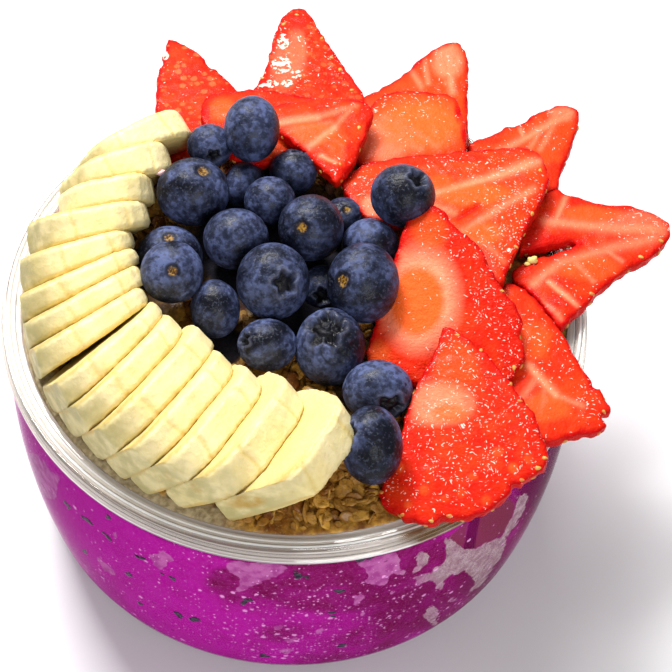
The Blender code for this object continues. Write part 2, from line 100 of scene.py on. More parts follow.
# How fast the painted front fades where the wall turns away, how many pixels outside its outlines
# counts as far, and how much plum and ice there is all over.
FRONT_FADE = 0.4
FAR_OUTSIDE = 50.0
PLUM_ALL_OVER = 0.3
ICE_ALL_OVER = 0.15
# Clusters of seeds behind: how many, the compass directions and, in metres, the heights.
BACK_CLUSTERS = 34
BACK_TURN_DEG = (-10.0, 190.0)
BACK_HEIGHT = (0.008, 0.066)
# Where an oval's strength ends, in its half sizes, and how far inside that it starts to fade.
OVAL_END = 1.2
OVAL_FADE = 0.5
# Where search lines start, well outside and well above the bowl, in metres.
FAR_OUT = 0.2
FAR_UP = 0.12

# Below, an outline is its corners, a line is its start, end, width and strength, and an oval is its
# middle, half width, half height and strength, all in picture pixels.
# Outlines of the pale patches where air or frost lies against the wall.
FROST_PATCHES = (
    ((31, 452), (38, 454), (45, 462), (52, 470), (60, 477), (58, 486), (56, 499), (50, 499),
     (43, 492), (38, 484), (33, 472), (30, 462)),
    ((149, 553), (154, 554), (158, 556), (160, 549), (164, 552), (168, 555), (172, 556), (174, 560),
     (167, 562), (166, 566), (160, 571), (156, 566), (152, 559)),
    ((97, 557), (102, 560), (107, 565), (113, 570), (117, 574), (112, 574), (104, 569), (100, 564)),
    ((226, 562), (240, 561), (255, 562), (272, 563), (288, 568), (280, 575), (268, 579), (255, 585),
     (243, 590), (234, 592), (240, 584), (240, 577), (230, 573), (227, 567)),
    ((355, 562), (362, 560), (372, 558), (385, 554), (395, 551), (400, 560), (399, 567), (407, 573),
     (402, 576), (396, 572), (390, 575), (388, 580), (385, 585), (377, 585), (368, 584), (364, 581),
     (368, 576), (366, 570), (360, 567)),
    ((416, 556), (420, 551), (427, 553), (429, 560), (426, 566), (421, 566), (419, 570), (413, 573),
     (414, 568), (418, 565), (415, 560)),
    ((447, 535), (452, 540), (458, 545), (465, 549), (475, 549), (485, 543), (493, 540), (500, 537),
     (505, 530), (508, 522), (513, 515), (515, 508), (517, 500), (511, 495), (518, 496), (526, 492),
     (528, 497), (524, 508), (519, 518), (513, 528), (508, 533), (504, 538), (507, 541), (503, 547),
     (501, 556), (495, 563), (489, 572), (484, 580), (478, 587), (472, 590), (468, 595), (470, 588),
     (475, 583), (472, 578), (467, 573), (463, 569), (458, 573), (450, 575), (444, 582), (443, 590),
     (435, 588), (436, 582), (430, 580), (424, 583), (415, 586), (412, 583), (420, 579), (412, 580),
     (410, 577), (418, 576), (424, 573), (430, 574), (433, 568), (440, 565), (446, 560), (446, 550),
     (444, 542)),
    ((425, 612), (429, 607), (435, 606), (438, 612), (437, 618), (435, 621), (440, 625), (434, 629),
     (431, 622), (427, 619), (422, 618)),
    ((352, 597), (358, 594), (361, 593), (365, 598), (361, 601), (357, 608), (353, 605), (354, 600)),
    ((444, 593), (448, 594), (450, 598), (458, 597), (456, 600), (449, 601)),
    ((390, 593), (393, 589), (396, 594), (393, 596)),
    ((396, 616), (398, 613), (402, 617), (399, 619)),
    ((359, 613), (363, 610), (366, 614), (361, 616)),
    ((278, 651), (286, 647), (294, 649), (288, 654)),
    ((272, 627), (280, 624), (286, 626), (278, 630)),
    ((283, 640), (292, 637), (298, 638), (290, 643)),
    ((311, 634), (318, 629), (324, 627), (320, 633)),
    ((210, 556), (214, 557), (213, 561), (207, 560)),
    ((112, 533), (117, 532), (117, 538), (113, 538)),
)
# Dull brown patches of shade on the wall.
SHADE_PATCHES = (
    ((482, 512), (500, 505), (508, 497), (515, 505), (510, 520), (500, 535), (490, 541), (478, 546),
     (473, 549), (477, 530)),
    ((447, 538), (456, 530), (468, 520), (466, 535), (463, 549), (456, 545)),
)
# A dark bar on the wall, a painted reflection.
DARK_BAR = ((469, 519), (480, 516), (477, 532), (474, 549), (463, 549), (466, 535))
# Plum areas inside the magenta: the puree's own darker plum, and painted shade along the tub's
# right side.
PLUM_AREAS = (
    (275, 590, 62, 34, 0.6),
    (330, 585, 90, 34, 0.8),
    (430, 585, 90, 50, 1.0),
    (520, 520, 40, 70, 1.3),
    (548, 465, 36, 80, 1.4),
    (232, 580, 24, 14, 0.6),
    (300, 557, 90, 8, 0.5),
    (345, 635, 90, 36, 0.45),
)
# Painted shade, a dusky plum, along the tub's right side.
DUSKY_AREAS = (
    (548, 465, 32, 84, 1.0),
    (500, 580, 46, 26, 0.6),
    (400, 600, 60, 30, 0.3),
)
# Where the frost is greyer.
GREY_AREAS = ((468, 556, 62, 44, 1.0), (516, 515, 26, 40, 1.0), (431, 616, 20, 18, 0.8))
# Where the rim shows the granola's brown, a painted reflection.
WARM_AREAS = ((428, 535, 26, 9, 0.9), (460, 524, 24, 9, 0.9), (490, 512, 20, 9, 0.7))
# Where the small bits of ice are thick.
ICY_AREAS = (
    (300, 620, 100, 44, 1.0),
    (400, 610, 70, 44, 0.7),
    (150, 590, 110, 60, 0.35),
)
# Clusters of black seeds against the wall.
SEED_CLUSTERS = (
    (69, 508), (87, 553), (104, 592), (140, 603), (127, 573), (141, 558), (167, 574), (180, 615),
    (110, 521), (248, 600), (296, 574), (265, 655), (340, 645), (341, 590), (384, 648), (195, 620),
    (108, 537), (88, 520), (330, 612), (360, 560),
)

BANANA_COUNT = 15
BANANA_LINES_DEG = (65.0, 115.0)
# How far the slices' outer ends lean on towards the wall, and where they stop, in millimetres.
BANANA_REACH = 2.0
BANANA_LIMIT = 69.0
# How squarely the slices end: 2 is an oval, more is squarer.
BANANA_SQUARENESS = 2.7
# The ends beyond this radius get painted shade, in millimetres.
DULL_RADIUS = 45.0
# Golden bruises on the banana.
BRUISES = ((250, 507, 18, 10, 0.8), (236, 498, 8, 12, 0.6), (198, 488, 7, 10, 0.5), (168, 478, 5, 9, 0.4),
           (212, 452, 2, 3, 0.9), (296, 492, 3, 3, 0.6), (100, 355, 12, 5, 0.4), (330, 375, 6, 24, 0.35))

# Outlines of the strawberry slices' upper faces.
STRAWBERRY_OUTLINES = {
    "east_back": (
        (362, 97), (366, 95), (378, 89), (390, 82), (400, 76), (410, 68), (420, 58), (430, 50),
        (440, 44.5), (448, 41.5), (455, 41), (461, 43), (465, 48), (468, 56), (469, 70), (469, 80),
        (468, 90), (468, 105), (469, 120), (469.5, 137), (464, 152), (448, 163), (420, 167),
        (392, 162), (372, 148), (361, 128), (359, 110),
    ),
    "north": (
        (252, 90), (256, 85), (262, 74), (266, 65), (270, 50), (274, 35), (277, 25), (281, 18),
        (287, 11), (293, 8), (299, 7.5), (306, 9), (311, 14), (315, 20), (320, 29), (327, 40),
        (334, 50), (341, 60), (349, 72), (356, 82), (362, 90), (366, 97), (366, 112), (358, 130),
        (335, 142), (300, 146), (270, 140), (254, 122), (248, 105),
    ),
    "north_west": (
        (156, 112), (155, 100), (156, 90), (157, 80), (159, 67), (163, 62), (161, 54), (165, 50),
        (166, 42), (168, 37), (177, 40), (185, 44), (192, 47), (200, 53), (204, 57), (206, 62),
        (211, 66), (216, 68), (220, 73), (227, 78), (233, 84), (239, 90), (243, 105), (238, 125),
        (225, 145), (205, 160), (185, 168), (168, 168), (160, 150), (157, 130),
    ),
    "north_east": (
        (468, 142), (474, 140), (480, 138), (490, 135), (497, 132), (503, 127), (510, 125.5),
        (520, 123.5), (527, 119), (533, 114), (541, 110.5), (550, 107), (558, 104.5), (566, 104),
        (572, 105.5), (578, 110), (580.5, 116), (579, 124), (576, 134), (573, 143), (569, 152),
        (566, 161), (562, 170), (560, 178), (558, 188), (545, 193), (525, 193), (500, 188), (480, 176),
        (470, 158),
    ),
    "east": (
        (541, 197), (548, 190), (558, 187), (566, 193), (575, 195), (585, 198), (592, 200), (600, 203),
        (607, 204.5), (615, 203.5), (625, 204), (635, 206), (645, 209), (655, 213), (663, 217),
        (670, 222), (671, 229), (670, 236), (667, 242), (660, 249), (651, 256), (641, 262), (630, 268),
        (620, 274), (610, 282), (600, 290), (592, 299), (583, 307), (575, 314), (568, 321), (562, 327),
        (553, 320), (545, 308), (535, 296), (522, 286), (512, 279), (513, 270), (520, 263),
        (530, 258.5), (540, 256), (550, 254), (560, 251), (572, 246), (580, 242), (570, 241),
        (555, 244), (540, 247), (527, 250), (519, 251), (517, 240), (520, 225), (526, 210), (533, 202),
    ),
    "right_low": (
        (506, 283), (515, 284), (522, 287), (530, 292), (538, 299), (545, 309), (552, 317), (559, 327),
        (565, 336), (571, 346), (576, 356), (581, 365), (586, 371), (592, 380), (594, 387), (600, 389),
        (605, 396), (609, 404), (611, 411), (604, 413), (602, 418), (607, 425), (601, 431),
        (592, 433.5), (583, 433), (574, 436), (566, 437), (558, 440), (549, 442), (538, 438),
        (528, 422), (514, 400), (502, 372), (496, 345), (494, 315), (498, 292),
    ),
    "back_middle": (
        (366, 112), (374, 100), (385, 93), (395, 91), (405, 90), (415, 90), (425, 91), (435, 92.5),
        (445, 93), (452, 95), (458, 99), (461, 106), (463, 115), (466, 125), (468, 138), (466, 152),
        (455, 164), (440, 174), (420, 182), (400, 186), (380, 182), (365, 172), (355, 158), (352, 142),
        (357, 125),
    ),
    "back_left": (
        (201, 104), (205, 98), (212, 93), (222, 90), (235, 90.5), (248, 88.5), (258, 88), (268, 89),
        (280, 91), (290, 93), (300, 95), (310, 96), (320, 99), (322, 108), (314, 124), (300, 142),
        (282, 157), (258, 165), (234, 158), (216, 143), (206, 128), (202, 120), (200, 112),
    ),
    "back_small": (
        (266, 107), (271, 105), (280, 103), (290, 100.5), (300, 99), (310, 97), (320, 96), (330, 96.5),
        (340, 97.5), (350, 98.5), (360, 100), (368, 102), (372, 106), (374, 111), (373, 117),
        (370, 122), (368, 130), (365, 138), (361, 146), (358, 155), (353, 163), (347, 170), (342, 177),
        (337, 181), (333, 180), (328, 174), (320, 167), (312, 159), (305, 151), (298, 146), (290, 140),
        (282, 134), (274, 127), (265, 118),
    ),
    "right_wide": (
        (342, 183), (350, 172), (358, 166), (365, 163), (375, 160), (385, 159), (395, 157), (405, 155),
        (415, 154), (425, 154), (435, 153), (445, 152), (455, 150.5), (465, 150), (475, 149),
        (485, 148.5), (495, 147.5), (505, 146.5), (515, 146), (525, 147), (533, 149), (540, 153),
        (545, 160), (548, 168), (550, 178), (548, 186), (543, 195), (540, 203), (537, 210), (533, 215),
        (529, 223), (525, 230), (522, 238), (519, 246), (515, 254), (511, 261), (508, 269), (505, 279),
        (500, 284), (490, 276), (476, 258), (458, 243), (435, 232), (408, 226), (385, 221), (368, 217),
        (357, 209), (349, 198), (344, 190),
    ),
    "right_dome": (
        (418, 203), (424, 202.5), (432, 204), (440, 206.5), (446, 211), (449, 218), (455, 225),
        (463, 232), (471, 238), (478, 243), (483, 250), (487, 258), (490, 267), (497, 279), (503, 288),
        (507, 293), (511, 300), (516, 305), (520, 312), (523, 320), (522, 328), (520, 335), (523, 342),
        (526, 350), (526, 357), (522, 364), (517, 370), (513, 378), (502, 388), (480, 394), (450, 394),
        (420, 386), (390, 374), (367, 362), (366, 350), (372, 335), (375, 320), (380, 305), (388, 283),
        (394, 260), (396, 252), (399, 243), (402, 233), (405, 224), (408, 216), (412, 210),
    ),
    "front_right": (
        (445, 325), (442, 327), (439, 335), (437, 342), (434, 350), (431, 357), (427, 365), (422, 374),
        (418, 382), (414, 390), (410, 400), (407, 410), (404, 418), (402, 428), (401, 438), (401, 448),
        (399, 455), (396, 462), (391, 469), (387, 475), (382, 482), (380, 488), (377, 493), (381, 497),
        (382, 503), (387, 509), (394, 512), (399, 513), (402, 519), (410, 521), (414, 519), (418, 523),
        (425, 523), (432, 523.5), (438, 522), (441, 518), (448, 519), (456, 517.5), (462, 519),
        (470, 517), (477, 514), (485, 512), (493, 507), (500, 502), (508, 496), (512, 490), (511, 486),
        (514, 483), (521, 484), (528, 479), (534, 475), (540, 470), (545, 468), (548, 461),
        (548.5, 452), (547, 445), (543, 438), (541, 430), (539, 422), (536, 414), (531, 407),
        (526, 402), (522, 396), (516, 388), (511, 381), (505, 376), (500, 370), (494, 362), (488, 354),
        (480, 347), (472, 341), (465, 335), (458, 330), (450, 326),
    ),
}
# How the slices are coloured: "tone" is how light the flesh is and "skin" is 1 where the outside
# shows. "rays" are pale lines and "cleft" is a split in the flesh. Ovals give the "pale", "orange",
# "pink" and "deep" patches, the "glare", which is painted highlight, and the wet glints: where the
# small sparkles of painted highlight are.
OVAL_LOOKS = ("pale", "orange", "deep", "pink", "glare", "wet")
STRAWBERRY_LOOKS = {
    "east_back": {
        "tone": 0.75,
        "rays": ((411, 70, 421, 88, 3, 0.5), (424, 60, 428, 84, 3, 0.5), (446, 52, 452, 92, 4, 0.7),
                 (458, 58, 446, 84, 3, 0.4), (436, 52, 440, 72, 3, 0.5)),
        "pale": ((448, 62, 16, 18, 0.6),),
        "wet": ((440, 70, 26, 30, 0.35),),
    },
    "north": {
        "tone": 0.3,
        "skin": 0.6,
        "pale": ((297, 52, 10, 24, 0.35), (284, 66, 14, 26, 0.3)),
        "deep": ((298, 22, 10, 10, 0.6), (345, 80, 10, 14, 0.5)),
        "glare": ((283, 42, 6, 8, 1.0), (281, 66, 11, 9, 0.72), (287, 84, 6, 4, 0.95),
                  (271, 84, 8, 4, 0.85), (262, 87, 4, 3, 0.8), (296, 75, 6, 5, 0.7)),
        "wet": ((290, 60, 34, 40, 0.5), (335, 62, 12, 24, 0.8)),
    },
    "north_west": {"tone": 0.35, "skin": 1.0, "glare": ((165, 55, 4, 5, 0.8),)},
    "north_east": {
        "tone": 0.65,
        "rays": ((500, 152, 572, 112, 4, 0.6), (518, 124, 523, 136, 2, 0.7), (538, 134, 530, 148, 3, 0.4),
                 (556, 120, 540, 150, 3, 0.4), (560, 112, 545, 128, 4, 0.5)),
        "pale": ((562, 113, 14, 9, 0.5),),
        "deep": ((556, 175, 12, 14, 0.6), (490, 140, 14, 5, 0.5)),
        "wet": ((545, 130, 30, 22, 0.3),),
    },
    "east": {
        "tone": 0.3,
        "rays": ((545, 222, 600, 227, 5, 0.6), (600, 227, 664, 230, 7, 0.55), (566, 196, 556, 220, 3, 0.6),
                 (533, 284, 560, 263, 5, 0.55), (560, 263, 602, 251, 5, 0.5), (602, 251, 655, 238, 6, 0.45),
                 (548, 282, 578, 306, 2.6, 0.9), (574, 263, 593, 281, 2.6, 0.5),
                 (534, 294, 562, 320, 2.6, 0.8), (606, 251, 622, 262, 2.4, 0.5)),
        "orange": ((590, 215, 30, 9, 0.6), (590, 268, 34, 14, 0.5)),
        "deep": ((548, 243, 30, 8, 0.9), (530, 230, 12, 16, 0.7), (555, 247, 28, 4, 1.0)),
        "pale": ((640, 222, 30, 12, 0.35),),
        "wet": ((640, 225, 34, 22, 0.8), (570, 285, 40, 30, 0.35)),
    },
    "right_low": {
        "tone": 0.45,
        "rays": ((528, 366, 556, 396, 4, 0.8), (556, 396, 582, 406, 3, 0.5), (536, 378, 520, 400, 4, 0.4),
                 (545, 384, 540, 412, 3, 0.3)),
        "orange": ((545, 408, 26, 14, 0.6), (535, 340, 16, 20, 0.4)),
        "deep": ((596, 428, 14, 8, 0.5), (560, 350, 12, 16, 0.3)),
        "wet": ((568, 350, 16, 34, 0.8), (590, 402, 18, 26, 1.0), (540, 345, 24, 40, 0.5)),
    },
    "back_middle": {
        "tone": 0.8,
        "orange": ((420, 125, 44, 26, 0.9),),
        "pale": ((385, 140, 28, 22, 0.45), (408, 138, 14, 12, 0.3)),
        "rays": ((384, 118, 436, 146, 4, 0.45), (372, 128, 420, 150, 4, 0.4)),
        "deep": ((459, 108, 5, 16, 0.9), (465, 130, 5, 16, 0.9)),
        "wet": ((410, 97, 44, 8, 1.0), (400, 120, 40, 24, 0.35)),
    },
    "back_left": {
        "tone": 0.4,
        "orange": ((222, 110, 14, 12, 0.7), (275, 150, 16, 10, 0.4)),
        "deep": ((205, 115, 5, 18, 0.8), (255, 90, 40, 4, 0.4)),
        "wet": ((290, 92, 28, 5, 0.4),),
    },
    "back_small": {
        "tone": 0.45,
        "rays": ((272, 124, 318, 118, 4, 0.75), (318, 118, 356, 106, 3, 0.4), (304, 150, 334, 128, 4, 0.85),
                 (334, 128, 350, 110, 3, 0.4), (320, 156, 336, 163, 1.8, 0.9), (285, 132, 330, 124, 3, 0.3)),
        "orange": ((310, 134, 30, 12, 0.7), (340, 150, 12, 14, 0.4)),
        "deep": ((366, 112, 7, 14, 0.7), (350, 160, 7, 20, 0.8), (342, 174, 8, 8, 0.8)),
        "wet": ((340, 108, 24, 8, 0.3),),
    },
    "right_wide": {
        "tone": 0.6,
        "rays": ((436, 194, 492, 178, 4, 0.8), (492, 178, 541, 160, 5, 0.75), (462, 232, 500, 208, 4, 0.5),
                 (500, 208, 533, 190, 4, 0.5), (430, 205, 455, 214, 4, 0.5), (480, 240, 505, 262, 3, 0.3)),
        "orange": ((470, 195, 40, 12, 0.8), (480, 235, 24, 12, 0.7), (440, 185, 16, 10, 0.5)),
        "pale": ((372, 208, 12, 12, 0.8),),
        "cleft": ((458, 218, 478, 206, 3, 1.0),),
        "deep": ((400, 162, 40, 5, 0.5), (462, 158, 30, 5, 0.6)),
        "wet": ((520, 205, 32, 50, 1.3), (470, 165, 50, 14, 0.8), (500, 250, 26, 26, 1.4),
                (368, 182, 16, 24, 1.3)),
    },
    "right_dome": {
        "tone": 0.25,
        "pink": ((419, 299, 40, 52, 1.0),),
        "orange": ((417, 302, 26, 33, 1.6), (372, 355, 18, 16, 0.7), (430, 232, 18, 18, 0.5)),
        "deep": ((512, 330, 16, 60, 0.6), (490, 300, 18, 40, 0.4)),
        "wet": ((455, 238, 34, 30, 0.8), (490, 290, 22, 44, 1.1), (512, 345, 16, 40, 1.1),
                (420, 300, 44, 54, 0.12)),
    },
    "front_right": {
        "tone": 0.25,
        "pale": ((438, 404, 34, 22, 0.75), (462, 404, 14, 14, 0.5)),
        "orange": ((450, 414, 18, 10, 0.7), (455, 365, 24, 26, 0.4), (399, 468, 5, 5, 0.6),
                   (424, 491, 5, 5, 0.6), (445, 499, 5, 4, 0.5), (461, 493, 5, 5, 0.6),
                   (486, 500, 5, 5, 0.6), (473, 477, 5, 4, 0.4), (513, 468, 5, 5, 0.6),
                   (498, 452, 6, 5, 0.4), (529, 459, 5, 5, 0.5), (408, 505, 4, 4, 0.5)),
        "deep": ((470, 500, 60, 18, 0.45), (535, 440, 10, 30, 0.5)),
        "wet": ((460, 420, 60, 90, 1.2), (400, 490, 24, 22, 1.2), (520, 440, 26, 40, 1.2)),
    },
}
# Yellow seeds that show on each slice.
STRAWBERRY_SEEDS = {
    "east": ((592, 294), (641, 257), (661, 241)),
    "right_low": ((551, 318), (604, 412), (593, 386)),
    "back_small": ((359, 128), (340, 164)),
    "right_wide": ((491, 149), (539, 152), (540, 170), (516, 247), (532, 214)),
    "right_dome": ((502, 291), (514, 368), (490, 262)),
    "front_right": ((457, 335), (481, 350), (511, 384), (520, 401), (381, 492), (402, 515), (449, 516),
                    (431, 521), (522, 480), (538, 468), (545, 458)),
    "north": ((352, 90), (262, 78), (331, 58), (340, 70), (297, 15), (322, 38), (284, 24)),
}
SLICE_THICKNESS = 3.4
# Kinds of wet strokes, which are painted highlights: how closely they are set each way, and how
# large they are.
STROKES = ((820.0, 2700.0, 0.36), (2500.0, 980.0, 0.36), (560.0, 2000.0, 0.28))

# Blueberries in picture pixels: middle, half width and half height, the end that shows ("star" for
# the crown, "scar" for the stem, "plain" for neither), where it shows, how wrinkled the skin is,
# how wide the crown spreads and how dusty the bloom is.
BLUEBERRIES = {
    "back_top": (252, 129, 28, 33.5, "plain", 252, 129, 0.1, 1.0, 0.95),
    "back_left_small": (210, 146, 23, 22, "star", 215, 158, 0.2, 1.0, 0.8),
    "left_large": (193, 192, 36.5, 34.5, "scar", 205, 172, 0.2, 1.0, 1.2),
    "back_low": (245, 186, 23, 24, "plain", 245, 186, 0.2, 1.0, 1),
    "upper_middle": (270, 201, 26, 24.5, "plain", 270, 201, 0.2, 1.0, 1.05),
    "back_crowned": (293, 172, 24, 22.5, "star", 298, 151, 0.3, 1.0, 1.05),
    "middle_left": (236, 239, 33, 31, "plain", 236, 239, 0.3, 1.0, 0.9),
    "middle_back": (311, 228, 33, 33.5, "scar", 302, 229, 0.8, 1.0, 0.75),
    "back_right_small": (344, 218, 23, 21, "scar", 347, 210, 0.8, 1.0, 0.6),
    "centre": (273, 281, 37, 38.5, "star", 287, 284, 0.3, 1.05, 0.85),
    "left_behind": (170, 255, 32.5, 29, "scar", 171, 238, 0.2, 1.0, 1.1),
    "left_front": (172, 272, 31.5, 31.5, "scar", 175, 272, 0.4, 1.0, 1.2),
    "lower_left": (215, 309, 25, 29.5, "plain", 215, 309, 0.4, 1.0, 0.9),
    "right_back": (370, 246, 28.5, 28, "plain", 370, 246, 0.3, 1.0, 1),
    "right_large": (363, 283, 36.5, 40.5, "scar", 342, 281, 0.3, 1.0, 0.8),
    "on_strawberry": (403, 195.5, 32.5, 31.5, "star", 418, 179, 0.2, 1.0, 0.85),
    "between": (322, 290, 24, 25, "star", 322, 297, 0.8, 1.1, 0.6),
    "front_left": (267, 345, 30, 26.5, "star", 244, 340, 1.0, 0.8, 1.2),
    "front_large": (330, 347, 35.5, 39.5, "star", 325, 326, 1.8, 1.7, 1.1),
    "front_behind": (378, 391, 35.5, 31, "star", 391, 407, 0.4, 1.3, 1.1),
    "front_lowest": (372, 445, 31, 40, "star", 349, 432, 0.5, 0.9, 1.15),
}
# Deep shade in the heap of berries.
HEAP_SHADE = ((270, 245, 100, 82, 1.0), (300, 320, 50, 40, 1.0), (350, 400, 20, 30, 0.7),
              (222, 345, 30, 26, 1.0), (158, 285, 20, 44, 0.8))
# A cream film along the wall beside the banana: from and to this compass direction in degrees, and
# the radius in millimetres from which it shows.
FILM_DEG = (118.0, 262.0)
FILM_RADIUS = 63.0
# Pale crumbs in the gaps between the fruit: where they show, in picture pixels, their length in
# millimetres and how pink they are.
CRUMBS = ((164, 175, 2.8, 1.0), (532, 262, 2.8, 0.0), (527, 265, 1.8, 0.0))
# How far the granola reaches from the middle, in millimetres, how many kinds of flake there are and
# their sizes, and the names that the fruit on it starts with.
GRANOLA_REACH = 69.0
FLAKE_KINDS = 8
FLAKE_SIZES = (0.28, 0.4, 0.55, 0.7, 0.8, 0.9, 1.0, 1.1)
FRUIT = ("banana", "strawberry", "blueberry")

# Lamps: name, place, what they aim at, side, power and colour. Lengths are in metres.
LAMPS = (
    ("key", (-0.34, 0.50, 0.95), (0.0, 0.0, 0.07), 0.28, 14.0, (1.0, 0.99, 0.97)),
    ("glint", (-0.07, 0.64, 1.02), (0.0, 0.0, 0.07), 0.40, 7.5, (1.0, 0.99, 0.97)),
    ("front", (0.30, -1.0, 0.75), (0.0, 0.0, 0.05), 0.5, 7.0, (1.0, 1.0, 1.0)),
)
WORLD_COLOUR = (1.0, 1.0, 1.0, 1.0)
WORLD_STRENGTH = 0.3
CAMERA_CLIP = (0.01, 20.0)


def srgb(red, green, blue):
    """A colour as read off a screen, 0 to 255, as linear light."""
    linear = []
    for value in (red, green, blue):
        share = value / 255.0
        linear.append(share / 12.92 if share <= 0.04045 else ((share + 0.055) / 1.055) ** 2.4)
    return tuple(linear)


# ------------------------------------------------------------------ sizes and colours to change


def number_property(name, description, default, **options):
    return FloatProperty(name=name, description=description, default=default, **options)


def length_property(name, description, default):
    """A length, given in millimetres."""
    return number_property(name, description, default * MM, unit="LENGTH")


def colour_property(name, description, *screen_colour):
    """A colour, given as read off a screen."""
    return FloatVectorProperty(
        name=name, description=description, default=srgb(*screen_colour), subtype="COLOR", min=0.0, max=1.0
    )


class TubSettings(PropertyGroup):
    steps: IntProperty(
        name="Steps round", description="Facets round the tub", default=144, min=24, max=256
    )
    tint: colour_property("Tint", "Tint of the clear plastic", 250, 250, 252)
    roughness: number_property("Roughness", "How dull the plastic is", 0.05, subtype="FACTOR")
    wall_bending: number_property("Wall's index", "Refraction of the wall against the puree", 1.025)
    rim_bending: number_property("Rim's index", "Refraction of the free rim", 1.5)
    # The rim's near-white tint, where it isn't clear, is painted reflection.
    rim_tint: colour_property("Rim tint", "Tint of the thick rim", 242, 236, 228)
    rim_clearness: number_property("Rim clearness", "How much shows through the rim", 0.62)


class PureeSettings(PropertyGroup):
    magenta: colour_property("Magenta", "Bright colour of the puree", 158, 17, 133)
    plum: colour_property("Plum", "Darker colour of the puree", 104, 12, 64)
    frost: colour_property("Frost", "Air and frost against the wall", 176, 100, 156)
    seed: colour_property("Seed", "Small black seeds", 16, 12, 26)
    seed_length: length_property("Seed length", "Length of a seed", 2.1)


class GranolaSettings(PropertyGroup):
    dark: colour_property("Dark oats", "Toasted edge of the flakes", 128, 72, 18)
    golden: colour_property("Golden oats", "Pale flakes", 240, 184, 78)
    flakes: IntProperty(
        name="Flakes tried", description="Places tried for a flake", default=5200, min=10, max=9000
    )
    flake_length: length_property("Flake length", "Length of an oat flake", 5.4)


class BananaSettings(PropertyGroup):
    flesh: colour_property("Flesh", "Outside of the peeled fruit", 241, 225, 174)
    heart: colour_property("Heart", "Middle of the cut face", 232, 205, 120)
    groove: colour_property("Groove", "Lines along the fruit", 226, 196, 112)
    # Colour of the painted shade on the outer ends next to the rim.
    dull: colour_property("Dull ends", "Ends next to the rim", 182, 170, 114)
    bruise: colour_property("Bruise", "Brown spots", 180, 138, 46)
    grain: length_property("Voxel", "Size of the mesh's cells", 0.55)


class StrawberrySettings(PropertyGroup):
    flesh: colour_property("Flesh", "Cut flesh", 214, 18, 4)
    light: colour_property("Light flesh", "Lighter flesh", 230, 70, 20)
    edge: colour_property("Edge", "Skin along the edge", 190, 8, 6)
    pale: colour_property("Pale core", "Pale rays and ring of the core", 244, 150, 110)
    orange: colour_property("Orange core", "Middle of the core", 240, 98, 36)
    seed: colour_property("Seed", "Seeds along the edge", 210, 158, 70)
    # Near-white of the painted highlights: the wet strokes and the glare.
    sparkle: colour_property("Sparkle", "Wet sparkles", 255, 226, 212)
    grain: length_property("Voxel", "Size of the mesh's cells", 0.5)


class BlueberrySettings(PropertyGroup):
    skin: colour_property("Skin", "Rubbed dark skin", 10, 12, 24)
    bloom: colour_property("Bloom", "Dusty bloom", 80, 91, 132)
    scar: colour_property("Scar", "Stem scar", 158, 118, 44)


class StageSettings(PropertyGroup):
    lens: number_property("Lens", "Focal length in millimetres", 112.74, min=20.0, max=300.0)
    floor_side: number_property("Floor side", "Length of the floor's side", 6.0, unit="LENGTH")
    floor: colour_property("Floor", "Pale floor", 232, 232, 234)


SETTINGS = {
    "bowl_tub": TubSettings,
    "bowl_puree": PureeSettings,
    "bowl_granola": GranolaSettings,
    "bowl_banana": BananaSettings,
    "bowl_strawberry": StrawberrySettings,
    "bowl_blueberry": BlueberrySettings,
    "bowl_stage": StageSettings,
}


# ------------------------------------------------------------------ working on meshes


def deselect():
    bpy.ops.object.select_all(action="DESELECT")


def select_only(*pieces):
    deselect()
    for piece in pieces:
        piece.select_set(True)
    bpy.context.view_layer.objects.active = pieces[0]


def edit(piece):
    select_only(piece)
    bpy.ops.object.mode_set(mode="EDIT")
    bpy.ops.mesh.select_all(action="SELECT")


def object_mode():
    bpy.ops.object.mode_set(mode="OBJECT")


def ball(segments, rings, length, width, thickness):
    """An oval ball about the origin, to be shaped further."""
    deselect()
    bpy.ops.mesh.primitive_uv_sphere_add(segments=segments, ring_count=rings, radius=0.5)
    piece = bpy.context.object
    edit(piece)
    bpy.ops.transform.resize(value=(length, width, thickness), center_override=(0.0, 0.0, 0.0))
    object_mode()
    return piece


def apply_modifier(piece, kind, **values):
    select_only(piece)
    modifier = piece.modifiers.new(kind.title(), kind)
    for name, value in values.items():
        setattr(modifier, name, value)
    bpy.ops.object.modifier_apply(modifier=modifier.name)


def read_points(mesh):
    points = np.empty(len(mesh.vertices) * 3)
    mesh.vertices.foreach_get("co", points)
    return points.reshape(-1, 3)


def read_normals(mesh):
    normals = np.empty(len(mesh.vertices) * 3, dtype=np.float32)
    mesh.vertex_normals.foreach_get("vector", normals)
    return normals.reshape(-1, 3)


def write_points(mesh, points):
    mesh.vertices.foreach_set("co", np.asarray(points, dtype=np.float32).ravel())
    mesh.update()


def store(mesh, **fields):
    """Keep a number for each point under each of the names, for a material to read."""
    for name, values in fields.items():
        attribute = mesh.attributes.new(name, "FLOAT", "POINT")
        attribute.data.foreach_set("value", np.full(len(mesh.vertices), values, dtype=np.float32))


def clipped(values):
    return np.clip(values, 0.0, 1.0)


def hump(gap, width):
    """1 where the gap is nothing, fading to 0 over the width on both sides."""
    return np.exp(-((gap / width) ** 2))


def swell(points, size, seed):
    """Smooth unevenness from -1 to 1 at each point, with lumps of about the given size."""
    offset = Vector((seed * 7.31, seed * 3.17, seed * 5.93))
    return np.array([noise.noise(Vector(point) / size + offset) for point in points])


def corner_ring(name, corners, fill):
    """A new piece in edit mode: one ring of corners at the given places, filled or not."""
    deselect()
    bpy.ops.mesh.primitive_circle_add(vertices=len(corners), radius=MM, fill_type=fill)
    piece = bpy.context.object
    piece.name = name
    for vertex, corner in zip(piece.data.vertices, corners):
        vertex.co = corner
    edit(piece)
    return piece


def face_outwards():
    bpy.ops.mesh.select_all(action="SELECT")
    bpy.ops.mesh.normals_make_consistent(inside=False)
    object_mode()


